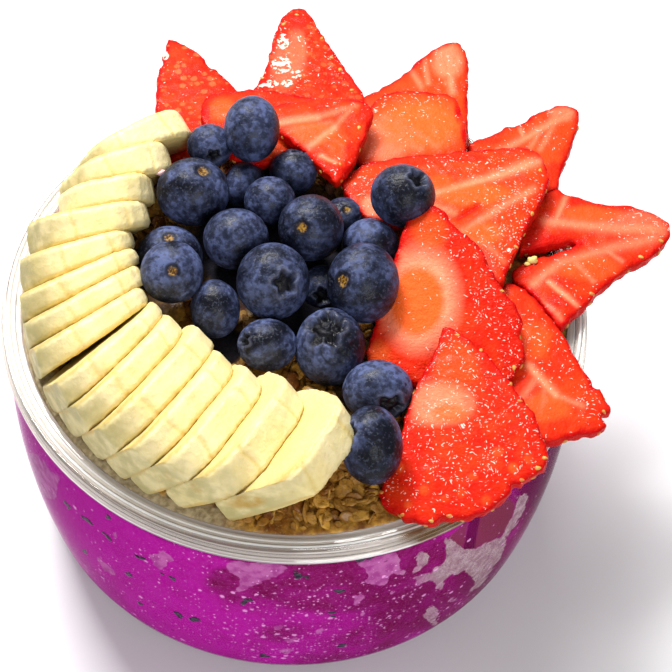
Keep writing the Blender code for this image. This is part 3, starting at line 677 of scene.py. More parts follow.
def turned(name, outline, steps):
    """Spin a closed outline of radius and height pairs, in millimetres, about the Z axis."""
    corners = [(radius * MM, 0.0, height * MM) for radius, height in outline]
    piece = corner_ring(name, corners, "NOTHING")
    bpy.ops.mesh.spin(steps=steps, angle=math.tau, center=(0.0, 0.0, 0.0), axis=(0.0, 0.0, 1.0))
    bpy.ops.mesh.select_all(action="SELECT")
    bpy.ops.mesh.remove_doubles(threshold=0.002 * MM)
    bpy.ops.mesh.delete_loose()
    face_outwards()
    return piece


def even_skin(piece, grain, softening):
    """Turn a closed piece into a fine even mesh and soften its edges."""
    apply_modifier(piece, "REMESH", mode="VOXEL", voxel_size=grain)
    apply_modifier(piece, "SMOOTH", factor=0.5, iterations=softening)
    return piece


def node_copy(node, name, grain, softening):
    """The frame's solid as a fine even skin that can be shaped further."""
    piece = bpy.data.objects.new(name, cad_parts[node].data.copy())
    bpy.context.scene.collection.objects.link(piece)
    piece.data.materials.clear()
    edit(piece)
    bpy.ops.mesh.remove_doubles(threshold=0.01 * MM)
    object_mode()
    return even_skin(piece, grain, softening)


def finish_piece(piece, material, nodes=(), smooth_deg=None):
    """Give the piece its material, shade it and fix it to the bowl."""
    piece.data.materials.clear()
    piece.data.materials.append(material)
    select_only(piece)
    if smooth_deg is None:
        bpy.ops.object.shade_smooth()
    else:
        bpy.ops.object.shade_smooth_by_angle(angle=math.radians(smooth_deg))
    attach(piece, "root")
    if nodes:
        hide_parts(*nodes)


def join_copies(name, shapes, places):
    """One piece out of many copies; each place is a shape's index, a matrix and numbers to keep."""
    made = []
    for index, matrix, extra in places:
        mesh = shapes[index].data.copy()
        mesh.transform(matrix)
        store(mesh, **extra)
        copy = bpy.data.objects.new(name, mesh)
        bpy.context.scene.collection.objects.link(copy)
        made.append(copy)
    select_only(*made)
    bpy.ops.object.join()
    piece = bpy.context.object
    piece.name = name
    for shape in shapes:
        bpy.data.objects.remove(shape, do_unlink=True)
    return piece


def lying(place, normal, spin, size):
    """Lays a copy flat on a surface: scaled, spun about the normal and moved to the place."""
    turn = normal.to_track_quat("Z", "Y").to_matrix().to_4x4() @ Matrix.Rotation(spin, 4, "Z")
    return Matrix.Translation(place) @ turn @ Matrix.Scale(size, 4)


# ------------------------------------------------------------------ what the picture shows where


def camera_right():
    return CAMERA_FORWARD.cross(CAMERA_UP).normalized()


def sight_line(across, down):
    """Direction from the camera through a pixel of the picture."""
    focal = bpy.context.scene.bowl_stage.lens / SENSOR_WIDTH * PICTURE_SIDE
    middle = PICTURE_SIDE / 2.0
    direction = CAMERA_FORWARD.copy()
    direction += camera_right() * ((across - middle) / focal)
    direction -= CAMERA_UP * ((down - middle) / focal)
    return direction.normalized()


def tree_of(*pieces):
    """A search tree over the triangles of one or more pieces."""
    points = []
    faces = []
    for piece in pieces:
        start = len(points)
        points.extend(vertex.co.copy() for vertex in piece.data.vertices)
        faces.extend([start + index for index in face.vertices] for face in piece.data.polygons)
    return BVHTree.FromPolygons(points, faces)


def seen_at(tree, across, down):
    """Where the line of sight through a pixel first meets the tree, or passes it, and the normal."""
    line = sight_line(across, down)
    place, normal, _, _ = tree.ray_cast(CAMERA_PLACE, line)
    if place is None:
        beside = CAMERA_PLACE - line * line.dot(CAMERA_PLACE)
        place, normal, _, _ = tree.find_nearest(beside)
    return place, normal


def picture_places(points):
    """Where the camera sees each point, in pixels of the picture."""
    focal = bpy.context.scene.bowl_stage.lens / SENSOR_WIDTH * PICTURE_SIDE
    offset = points - np.array(CAMERA_PLACE)
    depth = offset @ np.array(CAMERA_FORWARD)
    across = PICTURE_SIDE / 2.0 + focal * (offset @ np.array(camera_right())) / depth
    down = PICTURE_SIDE / 2.0 - focal * (offset @ np.array(CAMERA_UP)) / depth
    return np.stack((across, down), axis=1)


def gap_to_line(places, start, end):
    """Distance of each flat place from the line between two others."""
    run = np.subtract(end, start)
    share = clipped((places - start) @ run / max(run @ run, 1e-12))
    return np.linalg.norm(places - start - share[:, None] * run, axis=1)


def gap_to_loop(places, corners):
    """Distance of each flat place from a closed loop of corners."""
    best = np.full(len(places), np.inf)
    for start, end in zip(corners, np.roll(corners, -1, axis=0)):
        best = np.minimum(best, gap_to_line(places, start, end))
    return best


def near_lines(pixels, lines):
    """Strength of the nearest line at each pixel place; each line fades over its width."""
    field = np.zeros(len(pixels))
    for x_start, y_start, x_end, y_end, width, strength in lines:
        gap = gap_to_line(pixels, (x_start, y_start), (x_end, y_end))
        field = np.maximum(field, strength * hump(gap, width))
    return field


def depth_inside(pixels, loops):
    """How many pixels each place lies inside the nearest of several outlines; outside is negative."""
    field = np.full(len(pixels), -FAR_OUTSIDE)
    for loop in loops:
        corners = np.array(loop, dtype=float)
        inside = np.zeros(len(pixels), dtype=bool)
        for start, end in zip(corners, np.roll(corners, -1, axis=0)):
            crossing = (start[1] > pixels[:, 1]) != (end[1] > pixels[:, 1])
            slope = (end[0] - start[0]) / (end[1] - start[1]) if end[1] != start[1] else 0.0
            inside ^= crossing & (pixels[:, 0] < start[0] + slope * (pixels[:, 1] - start[1]))
        gap = gap_to_loop(pixels, corners)
        field = np.maximum(field, np.where(inside, gap, -gap))
    return field


def within_ovals(pixels, ovals):
    """Strength of the strongest oval at each pixel place; each oval fades at its edge."""
    field = np.zeros(len(pixels))
    for across, down, half_width, half_height, strength in ovals:
        reach = np.hypot((pixels[:, 0] - across) / half_width, (pixels[:, 1] - down) / half_height)
        field = np.maximum(field, strength * clipped((OVAL_END - reach) / OVAL_FADE))
    return field


# ------------------------------------------------------------------ material building blocks


class Nodes:
    """A node tree, with short calls for the nodes that the bowl's materials are made of."""

    def __init__(self, tree):
        self.tree = tree

    def fill(self, node, values):
        """Set a node's inputs, or link those whose value is another node's output."""
        for name, value in values.items():
            if isinstance(value, bpy.types.NodeSocket):
                self.tree.links.new(value, node.inputs[name])
            else:
                node.inputs[name].default_value = value

    def add(self, kind, inputs=None, **options):
        """Add a node, set its options and fill its inputs."""
        node = self.tree.nodes.new(f"ShaderNode{kind}")
        for name, value in options.items():
            setattr(node, name, value)
        self.fill(node, inputs or {})
        return node

    def math(self, operation, first, second, clamp=False):
        inputs = {0: first, 1: second}
        return self.add("Math", inputs, operation=operation, use_clamp=clamp).outputs[0]

    def times(self, first, second, clamp=False):
        return self.math("MULTIPLY", first, second, clamp)

    def plus(self, first, second):
        return self.math("ADD", first, second)

    def larger(self, first, second):
        return self.math("MAXIMUM", first, second)

    def step(self, value, low, high, to_low=0.0, to_high=1.0):
        """A smooth step of the value from low to high."""
        inputs = {"Value": value, "From Min": low, "From Max": high, "To Min": to_low, "To Max": to_high}
        return self.add("MapRange", inputs, interpolation_type="SMOOTHSTEP").outputs[0]

    def mix(self, share, first, second):
        """Two colours mixed by a share."""
        inputs = {0: share}
        for index, colour in ((6, first), (7, second)):
            linked = isinstance(colour, bpy.types.NodeSocket)
            inputs[index] = colour if linked else (*colour[:3], 1.0)
        return self.add("Mix", inputs, data_type="RGBA").outputs[2]

    def over(self, colour, mask, strength, top):
        """A colour with another on top of it where the mask is, as strongly as given."""
        return self.mix(self.times(mask, strength), colour, top)

    def field(self, name):
        """The number that a piece keeps for each point under this name."""
        return self.add("Attribute", attribute_name=name).outputs["Fac"]

    def object_place(self):
        return self.add("TexCoord").outputs["Object"]

    def cells(self, place, scale):
        """Scattered cells: the distance from each cell's middle, and its own three numbers."""
        cells = self.add("TexVoronoi", {"Vector": place, "Scale": scale})
        parts = self.add("SeparateColor", {"Color": cells.outputs["Color"]})
        return cells.outputs["Distance"], parts.outputs

    def warped(self, place, scale, reach):
        """A place pushed about by a noise, so that a pattern on it isn't regular."""
        noise_node = self.add("TexNoise", {"Vector": place, "Scale": scale})
        inputs = {0: noise_node.outputs["Color"], 1: reach, 2: place}
        return self.add("VectorMath", inputs, operation="MULTIPLY_ADD").outputs[0]

    def mottle(self, scale, detail=3.0, low=0.4, high=0.6):
        values = {"Scale": scale, "Detail": detail, "Low": low, "High": high}
        return self.add("Group", values, node_tree=mottle_group()).outputs[0]

    def specks(self, scale, size, share):
        values = {"Scale": scale, "Size": size, "Share": share}
        return self.add("Group", values, node_tree=speck_group()).outputs[0]

    def relief(self, height, strength, distance):
        """A bump from a height map, as a normal."""
        inputs = {"Strength": strength, "Distance": distance, "Height": height}
        return self.add("Bump", inputs).outputs[0]


def new_material(name):
    material = bpy.data.materials.new(name)
    material.use_nodes = True
    return material, Nodes(material.node_tree), material.node_tree.nodes["Principled BSDF"]


def new_group(name, inputs):
    """An empty node group with number inputs and a mask as its output."""
    group = bpy.data.node_groups.new(name, "ShaderNodeTree")
    for label, default in inputs.items():
        socket = group.interface.new_socket(label, in_out="INPUT", socket_type="NodeSocketFloat")
        socket.default_value = default
    group.interface.new_socket("Mask", in_out="OUTPUT", socket_type="NodeSocketFloat")
    given = group.nodes.new("NodeGroupInput").outputs
    leave = group.nodes.new("NodeGroupOutput")
    return group, Nodes(group), given, leave


def mottle_group():
    """Soft uneven patches: a noise of the given scale, stepped between two levels."""
    group = bpy.data.node_groups.get("mottle")
    if group:
        return group
    values = {"Scale": 300.0, "Detail": 3.0, "Low": 0.4, "High": 0.6}
    group, nodes, given, leave = new_group("mottle", values)
    inputs = {"Vector": nodes.object_place(), "Scale": given["Scale"], "Detail": given["Detail"]}
    cloud = nodes.add("TexNoise", inputs).outputs["Fac"]
    nodes.fill(leave, {"Mask": nodes.step(cloud, given["Low"], given["High"])})
    return group


def speck_group():
    """Scattered round specks of uneven size; only a share of the cells has one."""
    group = bpy.data.node_groups.get("specks")
    if group:
        return group
    group, nodes, given, leave = new_group("specks", {"Scale": 500.0, "Size": 0.3, "Share": 0.5})
    shifted = nodes.warped(nodes.object_place(), 1600.0, (0.0009, 0.0009, 0.0009))
    distance, parts = nodes.cells(shifted, given["Scale"])
    chosen = nodes.math("LESS_THAN", parts[0], given["Share"])
    reach = nodes.times(given["Size"], nodes.step(parts[1], 0.0, 1.0, 0.45, 1.0))
    spot = nodes.step(distance, reach, nodes.times(reach, 0.6))
    nodes.fill(leave, {"Mask": nodes.times(chosen, spot)})
    return group


# ------------------------------------------------------------------ tub


def wall_outline(corner_steps, wall_steps):
    """Outside of the tub from the base's edge up to the lid groove."""
    start = -math.pi / 2.0
    end = math.radians(CORNER_END_DEG)
    points = []
    for step in range(corner_steps + 1):
        angle = start + (end - start) * step / corner_steps
        radius = BASE_RADIUS + CORNER_RADIUS * math.cos(angle)
        points.append((radius, CORNER_RADIUS * (1.0 + math.sin(angle))))
    foot_radius, foot_height = points[-1]
    for step in range(1, wall_steps + 1):
        share = step / wall_steps
        radius = foot_radius + (WALL_TOP[0] - foot_radius) * share
        radius += WALL_BULGE * 4.0 * share * (1.0 - share)
        points.append((radius, foot_height + (WALL_TOP[1] - foot_height) * share))
    return points


def moved_inwards(points, distance):
    """Move each outline point inwards, square to the line through its neighbours."""
    moved = []
    for index, (radius, height) in enumerate(points):
        before = points[max(index - 1, 0)]
        after = points[min(index + 1, len(points) - 1)]
        run = after[0] - before[0]
        rise = after[1] - before[1]
        length = math.hypot(run, rise)
        moved.append((radius - distance * rise / length, height + distance * run / length))
    moved[0] = (BASE_RADIUS, distance)
    return moved


def arc(middle, radius, start_deg, end_deg, steps):
    """Points of an arc in the outline's plane."""
    points = []
    for step in range(steps + 1):
        angle = math.radians(start_deg + (end_deg - start_deg) * step / steps)
        points.append((middle[0] + radius * math.cos(angle), middle[1] + radius * math.sin(angle)))
    return points


def rim_outline():
    """Skirted rim: up the neck, out under the flange, down the skirt and back over the top."""
    points = [(NECK_RADIUS, 74.2), (NECK_RADIUS, 75.9)]
    points += arc((70.5, 76.0), 0.5, 180.0, 90.0, 3)
    points += [(73.6, 76.5), (74.0, 76.1), (74.05, 73.6), (73.7, 73.2)]
    points += arc((74.3, 72.95), 0.65, 200.0, 360.0, 6)
    points += [(74.95, 73.6), (74.55, 73.95), (74.5, 74.5), (74.75, 74.65), (74.75, 75.1)]
    points += [(74.5, 75.25), (74.55, 75.9)]
    points += arc((73.95, 76.4), 0.7, 0.0, 80.0, 5)
    points += [(73.55, 76.95)]
    points += arc((72.85, 77.15), 0.45, 0.0, 180.0, 8)
    points += [(72.1, 76.85), (71.5, 76.85), (71.2, 77.1), (70.6, 77.15)]
    points += arc((69.85, 76.65), 0.55, 80.0, 180.0, 5)
    points += [(NECK_RADIUS - WALL_THICKNESS, 74.2)]
    return points


def plastic_material(name, tint, bending, roughness, clearness):
    """Clear plastic that lets lamps through to what it holds."""
    material, nodes, shader = new_material(name)
    # Painted reflection: grey streaks that run round the rim.
    colour = nodes.mix(nodes.field("streak"), tint, srgb(112, 104, 96))
    # Painted reflection of the granola's brown on the rim.
    colour = nodes.mix(nodes.field("warm"), colour, srgb(134, 98, 44))
    nodes.fill(shader, {
        "Base Color": colour,
        "Roughness": roughness,
        "IOR": bending,
        "Transmission Weight": clearness,
    })
    shadow_ray = nodes.add("LightPath").outputs["Is Shadow Ray"]
    through = nodes.add("BsdfTransparent", {"Color": THROUGH_WALL}).outputs[0]
    blend = nodes.add("MixShader", {0: shadow_ray, 1: shader.outputs[0], 2: through}).outputs[0]
    nodes.fill(material.node_tree.nodes["Material Output"], {"Surface": blend})
    return material


class BOWL_OT_tub(Operator):
    """Make the clear round tub with its skirted rim"""

    bl_idname = "bowl.tub"
    bl_label = "Tub"

    def execute(self, context):
        settings = context.scene.bowl_tub
        outside = wall_outline(*TUB_STEPS)
        inside = moved_inwards(outside, WALL_THICKNESS)
        outline = [(0.0, 0.0)] + outside + rim_outline() + inside[::-1] + [(0.0, WALL_THICKNESS)]
        tub = turned("clear_tub", outline, settings.steps)
        points = read_points(tub.data)
        round_lines = np.column_stack((
            np.hypot(points[:, 0], points[:, 1]) / (STREAK_WIDTH * MM),
            points[:, 2] / (STREAK_WIDTH * MM),
            np.arctan2(points[:, 1], points[:, 0]) * 0.8,
        ))
        # Painted reflection: grey rings round the rim, none on the wall.
        streak = np.clip(0.1 + 1.7 * swell(round_lines, 1.0, 8), 0.02, 1.0)
        streak *= points[:, 2] > WALL_TOP[1] * MM
        # Where the rim gets the painted reflection of the granola's brown.
        warm = within_ovals(picture_places(points), WARM_AREAS) * (streak > 0.0)
        store(tub.data, streak=streak, warm=warm)
        bending = settings.wall_bending
        wall = plastic_material("clear_wall", settings.tint, bending, settings.roughness, 1.0)
        finish_piece(tub, wall, ["tub"], smooth_deg=38.0)
        # The rim is only partly clear and near-white: painted reflection.
        bending = settings.rim_bending
        clearness = settings.rim_clearness
        rim = plastic_material("clear_rim", settings.rim_tint, bending, RIM_ROUGHNESS, clearness)
        # The lip, groove edge and bead get a near-white, nearly opaque finish: painted highlight.
        tint = srgb(*EDGE_TINT)
        edge = plastic_material("clear_rim_edge", tint, bending, EDGE_ROUGHNESS, EDGE_CLEARNESS)
        tub.data.materials.append(rim)
        tub.data.materials.append(edge)
        for face in tub.data.polygons:
            face.material_index = self.finish_of(face.center.xy.length / MM, face.center.z / MM)
        return {"FINISHED"}

    def finish_of(self, out, height):
        """Which material a face has: 0 on the wall, 1 on the rim, 2 on the rim's painted highlight edges."""
        if height <= WALL_TOP[1]:
            return 0
        lip = out > LIP_RADIUS and height < LIP_TOP
        groove_edge = GROOVE_EDGE[0] < out < GROOVE_EDGE[1] and height > GROOVE_EDGE[2]
        return 2 if lip or groove_edge or height > BEAD_BASE else 1


# ------------------------------------------------------------------ puree


def puree_material(settings):
    material, nodes, shader = new_material("frozen_puree")
    plum = nodes.field("plum")
    frost = nodes.field("frost")
    icy = nodes.field("icy")
    uneven = nodes.mottle(60.0, 5.0, 0.3, 0.7)
    # Plum: the puree's darker colour, with painted shade along the tub's right side.
    lifted = nodes.plus(plum, nodes.times(uneven, 0.5))
    share = nodes.step(lifted, 0.25, 1.0)
    colour = nodes.mix(share, settings.magenta, settings.plum)
    cloudy = nodes.mottle(160.0, 4.0, 0.35, 0.75)
    colour = nodes.over(colour, cloudy, 0.25, srgb(178, 30, 156))
    grainy = nodes.mottle(1100.0, 3.0, 0.3, 0.7)
    colour = nodes.over(colour, grainy, 0.12, srgb(196, 80, 176))
    # Painted shade, a dusky plum, along the tub's right side.
    dusk = nodes.times(nodes.field("dusk"), 0.8)
    colour = nodes.mix(dusk, colour, srgb(84, 14, 56))
    shade = nodes.step(nodes.field("shade"), -1.5, 1.5)
    colour = nodes.over(colour, shade, 0.85, srgb(112, 46, 64))
    # The dark bar, a painted reflection.
    dark = nodes.step(nodes.field("dark"), -1.0, 1.0)
    colour = nodes.over(colour, dark, 0.85, srgb(78, 12, 44))
    ragged = nodes.math("SUBTRACT", nodes.mottle(500.0, 5.0, 0.2, 0.8), 0.5)
    reach = nodes.plus(frost, nodes.times(ragged, 3.0))
    patch = nodes.step(reach, -0.3, 0.5)
    smears = nodes.mottle(420.0, 4.0, 0.35, 0.65)
    pale = nodes.mix(smears, settings.frost, srgb(150, 64, 130))
    stipple = nodes.mottle(3000.0, 1.0, 0.5, 0.62)
    grey = nodes.mix(smears, srgb(176, 158, 160), srgb(150, 122, 130))
    grey = nodes.over(grey, stipple, 0.7, srgb(110, 64, 88))
    pale = nodes.mix(nodes.field("grey"), pale, grey)
    colour = nodes.over(colour, patch, 0.85, pale)
    fine = nodes.specks(900.0, 0.34, nodes.times(icy, 0.55))
    large = nodes.specks(380.0, 0.32, nodes.times(icy, 0.42))
    ice = nodes.larger(fine, large)
    colour = nodes.over(colour, ice, 0.72, srgb(226, 158, 214))
    black = nodes.specks(210.0, 0.16, 0.12)
    colour = nodes.over(colour, black, 0.6, srgb(70, 14, 66))
    nodes.fill(shader, {
        "Base Color": colour,
        "Roughness": 0.6,
        "Specular IOR Level": 0.0,
    })
    return material


def seed_material(settings):
    material, nodes, shader = new_material("black_seed")
    colour = nodes.mix(nodes.mottle(900.0), settings.seed, srgb(40, 28, 56))
    nodes.fill(shader, {"Base Color": colour, "Roughness": 0.35})
    return material


class BOWL_OT_puree(Operator):
    """Fill the tub with magenta puree, frost patches and black seeds"""

    bl_idname = "bowl.puree"
    bl_label = "Puree"

    def execute(self, context):
        settings = context.scene.bowl_puree
        sides = moved_inwards(wall_outline(*PUREE_STEPS), WALL_THICKNESS - PUREE_BITE)
        top_radius = NECK_RADIUS - WALL_THICKNESS + PUREE_BITE + PUREE_FLARE
        outline = [(0.0, sides[0][1]), *sides, (top_radius, PUREE_TOP), (0.0, PUREE_TOP)]
        puree = turned("magenta_puree", outline, PUREE_STEPS_ROUND)
        points = read_points(puree.data)
        pixels = picture_places(points)
        sight = points - np.array(CAMERA_PLACE)
        away = np.einsum("ij,ij->i", sight, read_normals(puree.data)) / np.linalg.norm(sight, axis=1)
        front = clipped(1.0 - away / FRONT_FADE)
        behind = FAR_OUTSIDE * (1.0 - front)
        store(
            puree.data,
            frost=depth_inside(pixels, FROST_PATCHES) - behind,
            shade=depth_inside(pixels, SHADE_PATCHES) - behind,
            dark=depth_inside(pixels, (DARK_BAR,)) - behind,
            plum=PLUM_ALL_OVER + front * (within_ovals(pixels, PLUM_AREAS) - PLUM_ALL_OVER),
            dusk=front * within_ovals(pixels, DUSKY_AREAS),
            grey=front * within_ovals(pixels, GREY_AREAS),
            icy=front * within_ovals(pixels, ICY_AREAS) + ICE_ALL_OVER,
        )
        finish_piece(puree, puree_material(settings), ["puree"], smooth_deg=50.0)
        self.make_seeds(settings, tree_of(puree))
        return {"FINISHED"}

    def make_seeds(self, settings, tree):
        """Seeds lie flat against the wall in small clusters, in front and, by chance, behind."""
        chance = random.Random(4)
        length = settings.seed_length
        seed = ball(8, 6, length, length * 0.55, length * 0.3)
        for corner in seed.data.vertices:
            corner.co.y *= 1.0 - 0.5 * corner.co.x / length
        clusters = [seen_at(tree, across, down) for across, down in SEED_CLUSTERS]
        for _ in range(BACK_CLUSTERS):
            turn = math.radians(chance.uniform(*BACK_TURN_DEG))
            start = Vector((math.cos(turn), math.sin(turn), 0.0)) * FAR_OUT
            start.z = chance.uniform(*BACK_HEIGHT)
            place, normal, _, _ = tree.ray_cast(start, Vector((-start.x, -start.y, 0.0)))
            clusters.append((place, normal))
        places = []
        for place, normal in clusters:
            for _ in range(chance.choice((2, 3, 3, 4, 5))):
                side = normal.orthogonal().normalized()
                side.rotate(Matrix.Rotation(chance.uniform(0.0, math.tau), 3, normal))
                spot = place + side * chance.gauss(0.0, 1.1 * MM)
                near, out, _, _ = tree.find_nearest(spot)
                near += out * 0.02 * MM
                matrix = lying(near, out, chance.gauss(0.2, 0.7), chance.uniform(0.6, 1.15))
                places.append((0, matrix, {}))
        seeds = join_copies("puree_seeds", [seed], places)
        finish_piece(seeds, seed_material(settings))


# ------------------------------------------------------------------ granola


def granola_material(settings, name, with_tone):
    material, nodes, shader = new_material(name)
    tone = nodes.field("tone") if with_tone else nodes.mottle(260.0, 4.0, 0.3, 0.7)
    colour = nodes.mix(tone, settings.dark, settings.golden)
    toasted = nodes.mottle(700.0, 5.0, 0.35, 0.7)
    colour = nodes.over(colour, toasted, 0.5, srgb(78, 40, 8))
    bran = nodes.mottle(1500.0, 3.0, 0.55, 0.75)
    colour = nodes.over(colour, bran, 0.35, srgb(226, 184, 112))
    colour = nodes.mix(nodes.field("shade"), colour, srgb(22, 20, 30))
    cream = nodes.mix(toasted, srgb(206, 192, 156), srgb(158, 140, 104))
    colour = nodes.over(colour, nodes.field("film"), 0.9, cream)
    height = nodes.plus(toasted, bran)
    nodes.fill(shader, {
        "Base Color": colour,
        "Roughness": nodes.step(nodes.field("shade"), 0.0, 1.0, 0.5, 0.95),
        "Specular IOR Level": 0.3,
        "Normal": nodes.relief(height, 0.6, 0.25 * MM),
        "Coat Weight": nodes.step(nodes.field("shade"), 0.0, 1.0, 0.25, 0.0),
        "Coat Roughness": 0.25,
    })
    return material


def flake_shapes(length, chance):
    """Several rolled oats: thin bent ovals with a crease and an uneven edge."""
    shapes = []
    for number in range(FLAKE_KINDS):
        wide = chance.uniform(0.6, 0.85)
        flake = ball(10, 5, length, length * wide, length * chance.uniform(0.14, 0.22))
        bend = chance.uniform(-0.5, 0.7)
        twist = chance.uniform(-0.5, 0.5)
        for corner in flake.data.vertices:
            along = corner.co.x / length
            across = corner.co.y / length
            edge = 1.0 + 0.22 * noise.noise(Vector((along * 5.0, across * 5.0, number * 3.7)))
            corner.co.x *= edge
            corner.co.y *= edge
            lift = bend * along * along + twist * along * across
            lift -= 0.10 * math.exp(-((across / 0.08) ** 2))
            corner.co.z += lift * length * 0.6
        shapes.append(flake)
    return shapes


class BOWL_OT_granola(Operator):
    """Lay the granola bed: a rough core under loose oat flakes and crumbs"""

    bl_idname = "bowl.granola"
    bl_label = "Granola"

    def execute(self, context):
        settings = context.scene.bowl_granola
        chance = random.Random(11)
        core = node_copy("granola", "granola_core", grain=0.85 * MM, softening=2)
        points = read_points(core.data)
        normals = read_normals(core.data)
        rough = 0.45 * swell(points, 2.6 * MM, 3) + 0.3 * swell(points, 1.2 * MM, 5)
        upward = clipped(normals[:, 2])
        shade = within_ovals(picture_places(points), HEAP_SHADE)
        store(core.data, shade=shade, film=self.film(points))
        write_points(core.data, points + normals * (rough * upward * MM)[:, None])
        material = granola_material(settings, "granola_bed", False)
        finish_piece(core, material, ["granola"])
        puree = bpy.data.objects["magenta_puree"]
        puree.data.materials.append(material)
        for face in puree.data.polygons:
            face.material_index = int(face.normal.z > 0.9 and face.center.z > 0.9 * PUREE_TOP * MM)
        store(puree.data, film=self.film(read_points(puree.data)))
        fruit = [node for name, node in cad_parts.items() if name.startswith(FRUIT)]
        obstacles = tree_of(*fruit)
        ground = tree_of(core, puree)
        shapes = flake_shapes(settings.flake_length, chance)
        places = []
        reach = GRANOLA_REACH * MM
        down = Vector((0.0, 0.0, -1.0))
        for _ in range(settings.flakes):
            turn = chance.uniform(0.0, math.tau)
            out = reach * math.sqrt(chance.random())
            spot = Vector((out * math.cos(turn), out * math.sin(turn), FAR_UP))
            found, _, _, _ = ground.ray_cast(spot, down)
            if found is None:
                continue
            size = chance.choice(FLAKE_SIZES)
            half = settings.flake_length * size / 2.0
            if out + half > reach:
                continue
            place = found + Vector((0.0, 0.0, chance.uniform(0.2, 1.9) * MM))
            shade = within_ovals(picture_places(np.array([place])), HEAP_SHADE)[0]
            _, _, _, room = obstacles.find_nearest(place)
            below, _, _, _ = obstacles.ray_cast(place, down)
            if room < half * 0.75 or below is not None or not self.in_sight(place, obstacles):
                continue
            if self.film(np.array([place]))[0] > 0.4 or shade > 0.6:
                continue
            tilt = Matrix.Rotation(chance.gauss(0.0, 0.5), 4, "X")
            tilt = tilt @ Matrix.Rotation(chance.gauss(0.0, 0.5), 4, "Y")
            matrix = Matrix.Translation(place) @ tilt @ Matrix.Rotation(turn * 7.0, 4, "Z")
            matrix = matrix @ Matrix.Scale(size, 4)
            tone = min(1.0, max(0.0, chance.gauss(0.38, 0.24)))
            places.append((chance.randrange(len(shapes)), matrix, {"tone": tone, "shade": shade}))
        flakes = join_copies("oat_flakes", shapes, places)
        finish_piece(flakes, granola_material(settings, "oat_flake", True))
        self.crumbs(tree_of(core, puree, *fruit))
        return {"FINISHED"}

    def crumbs(self, surfaces):
        """Set the few pale crumbs down on whatever shows at their places."""
        shapes = []
        places = []
        for across, down, length, pink in CRUMBS:
            size = length * MM
            crumb = ball(14, 9, size, 0.75 * size, 0.55 * size)
            points = read_points(crumb.data)
            lumps = 0.4 * swell(points, 1.1 * MM, across) + 0.2 * swell(points, 0.5 * MM, down)
            write_points(crumb.data, points * (1.0 + lumps)[:, None])
            place, normal = seen_at(surfaces, across, down)
            raised = Matrix.Translation(place + normal * 0.3 * size)
            places.append((len(shapes), raised @ Matrix.Rotation(length * 9.0, 4, "Z"), {"pink": pink}))
            shapes.append(crumb)
        crumbs = join_copies("pale_crumbs", shapes, places)
        material, nodes, shader = new_material("pale_crumb")
        uneven = nodes.mottle(700.0, 4.0, 0.35, 0.7)
        colour = nodes.mix(nodes.field("pink"), srgb(228, 208, 118), srgb(240, 196, 200))
        colour = nodes.over(colour, uneven, 0.5, srgb(196, 138, 112))
        nodes.fill(shader, {
            "Base Color": colour,
            "Roughness": 0.55,
            "Normal": nodes.relief(uneven, 0.6, 0.2 * MM),
        })
        finish_piece(crumbs, material)

    def film(self, points):
        """How thick the cream film lies on each point."""
        turn = np.degrees(np.arctan2(points[:, 1], points[:, 0])) % 360.0
        ends = clipped(np.minimum(turn - FILM_DEG[0], FILM_DEG[1] - turn) / 8.0)
        out = np.hypot(points[:, 0], points[:, 1]) / MM
        return ends * clipped((out - FILM_RADIUS) / 1.5)

    def in_sight(self, place, obstacles):
        """Whether a flake shows from above or from the sides."""
        for turn_deg in range(0, 360, 45):
            for rise in (0.6, 1.4, 6.0):
                turn = math.radians(turn_deg)
                line = Vector((math.cos(turn), math.sin(turn), rise))
                if obstacles.ray_cast(place, line)[0] is None:
                    return True
        return False


# ------------------------------------------------------------------ banana


def slice_frame(points):
    """Middle and the three directions of a slice: along it, up its face and through it."""
    middle = points.mean(axis=0)
    _, vectors = np.linalg.eigh(np.cov((points - middle).T))
    through = vectors[:, 0]
    along = vectors[:, 2]
    if np.dot(along[:2], middle[:2]) > 0.0:
        along = -along
    up = np.cross(through, along)
    if up[2] < 0.0:
        through = -through
        up = -up
    return middle, along, up, through


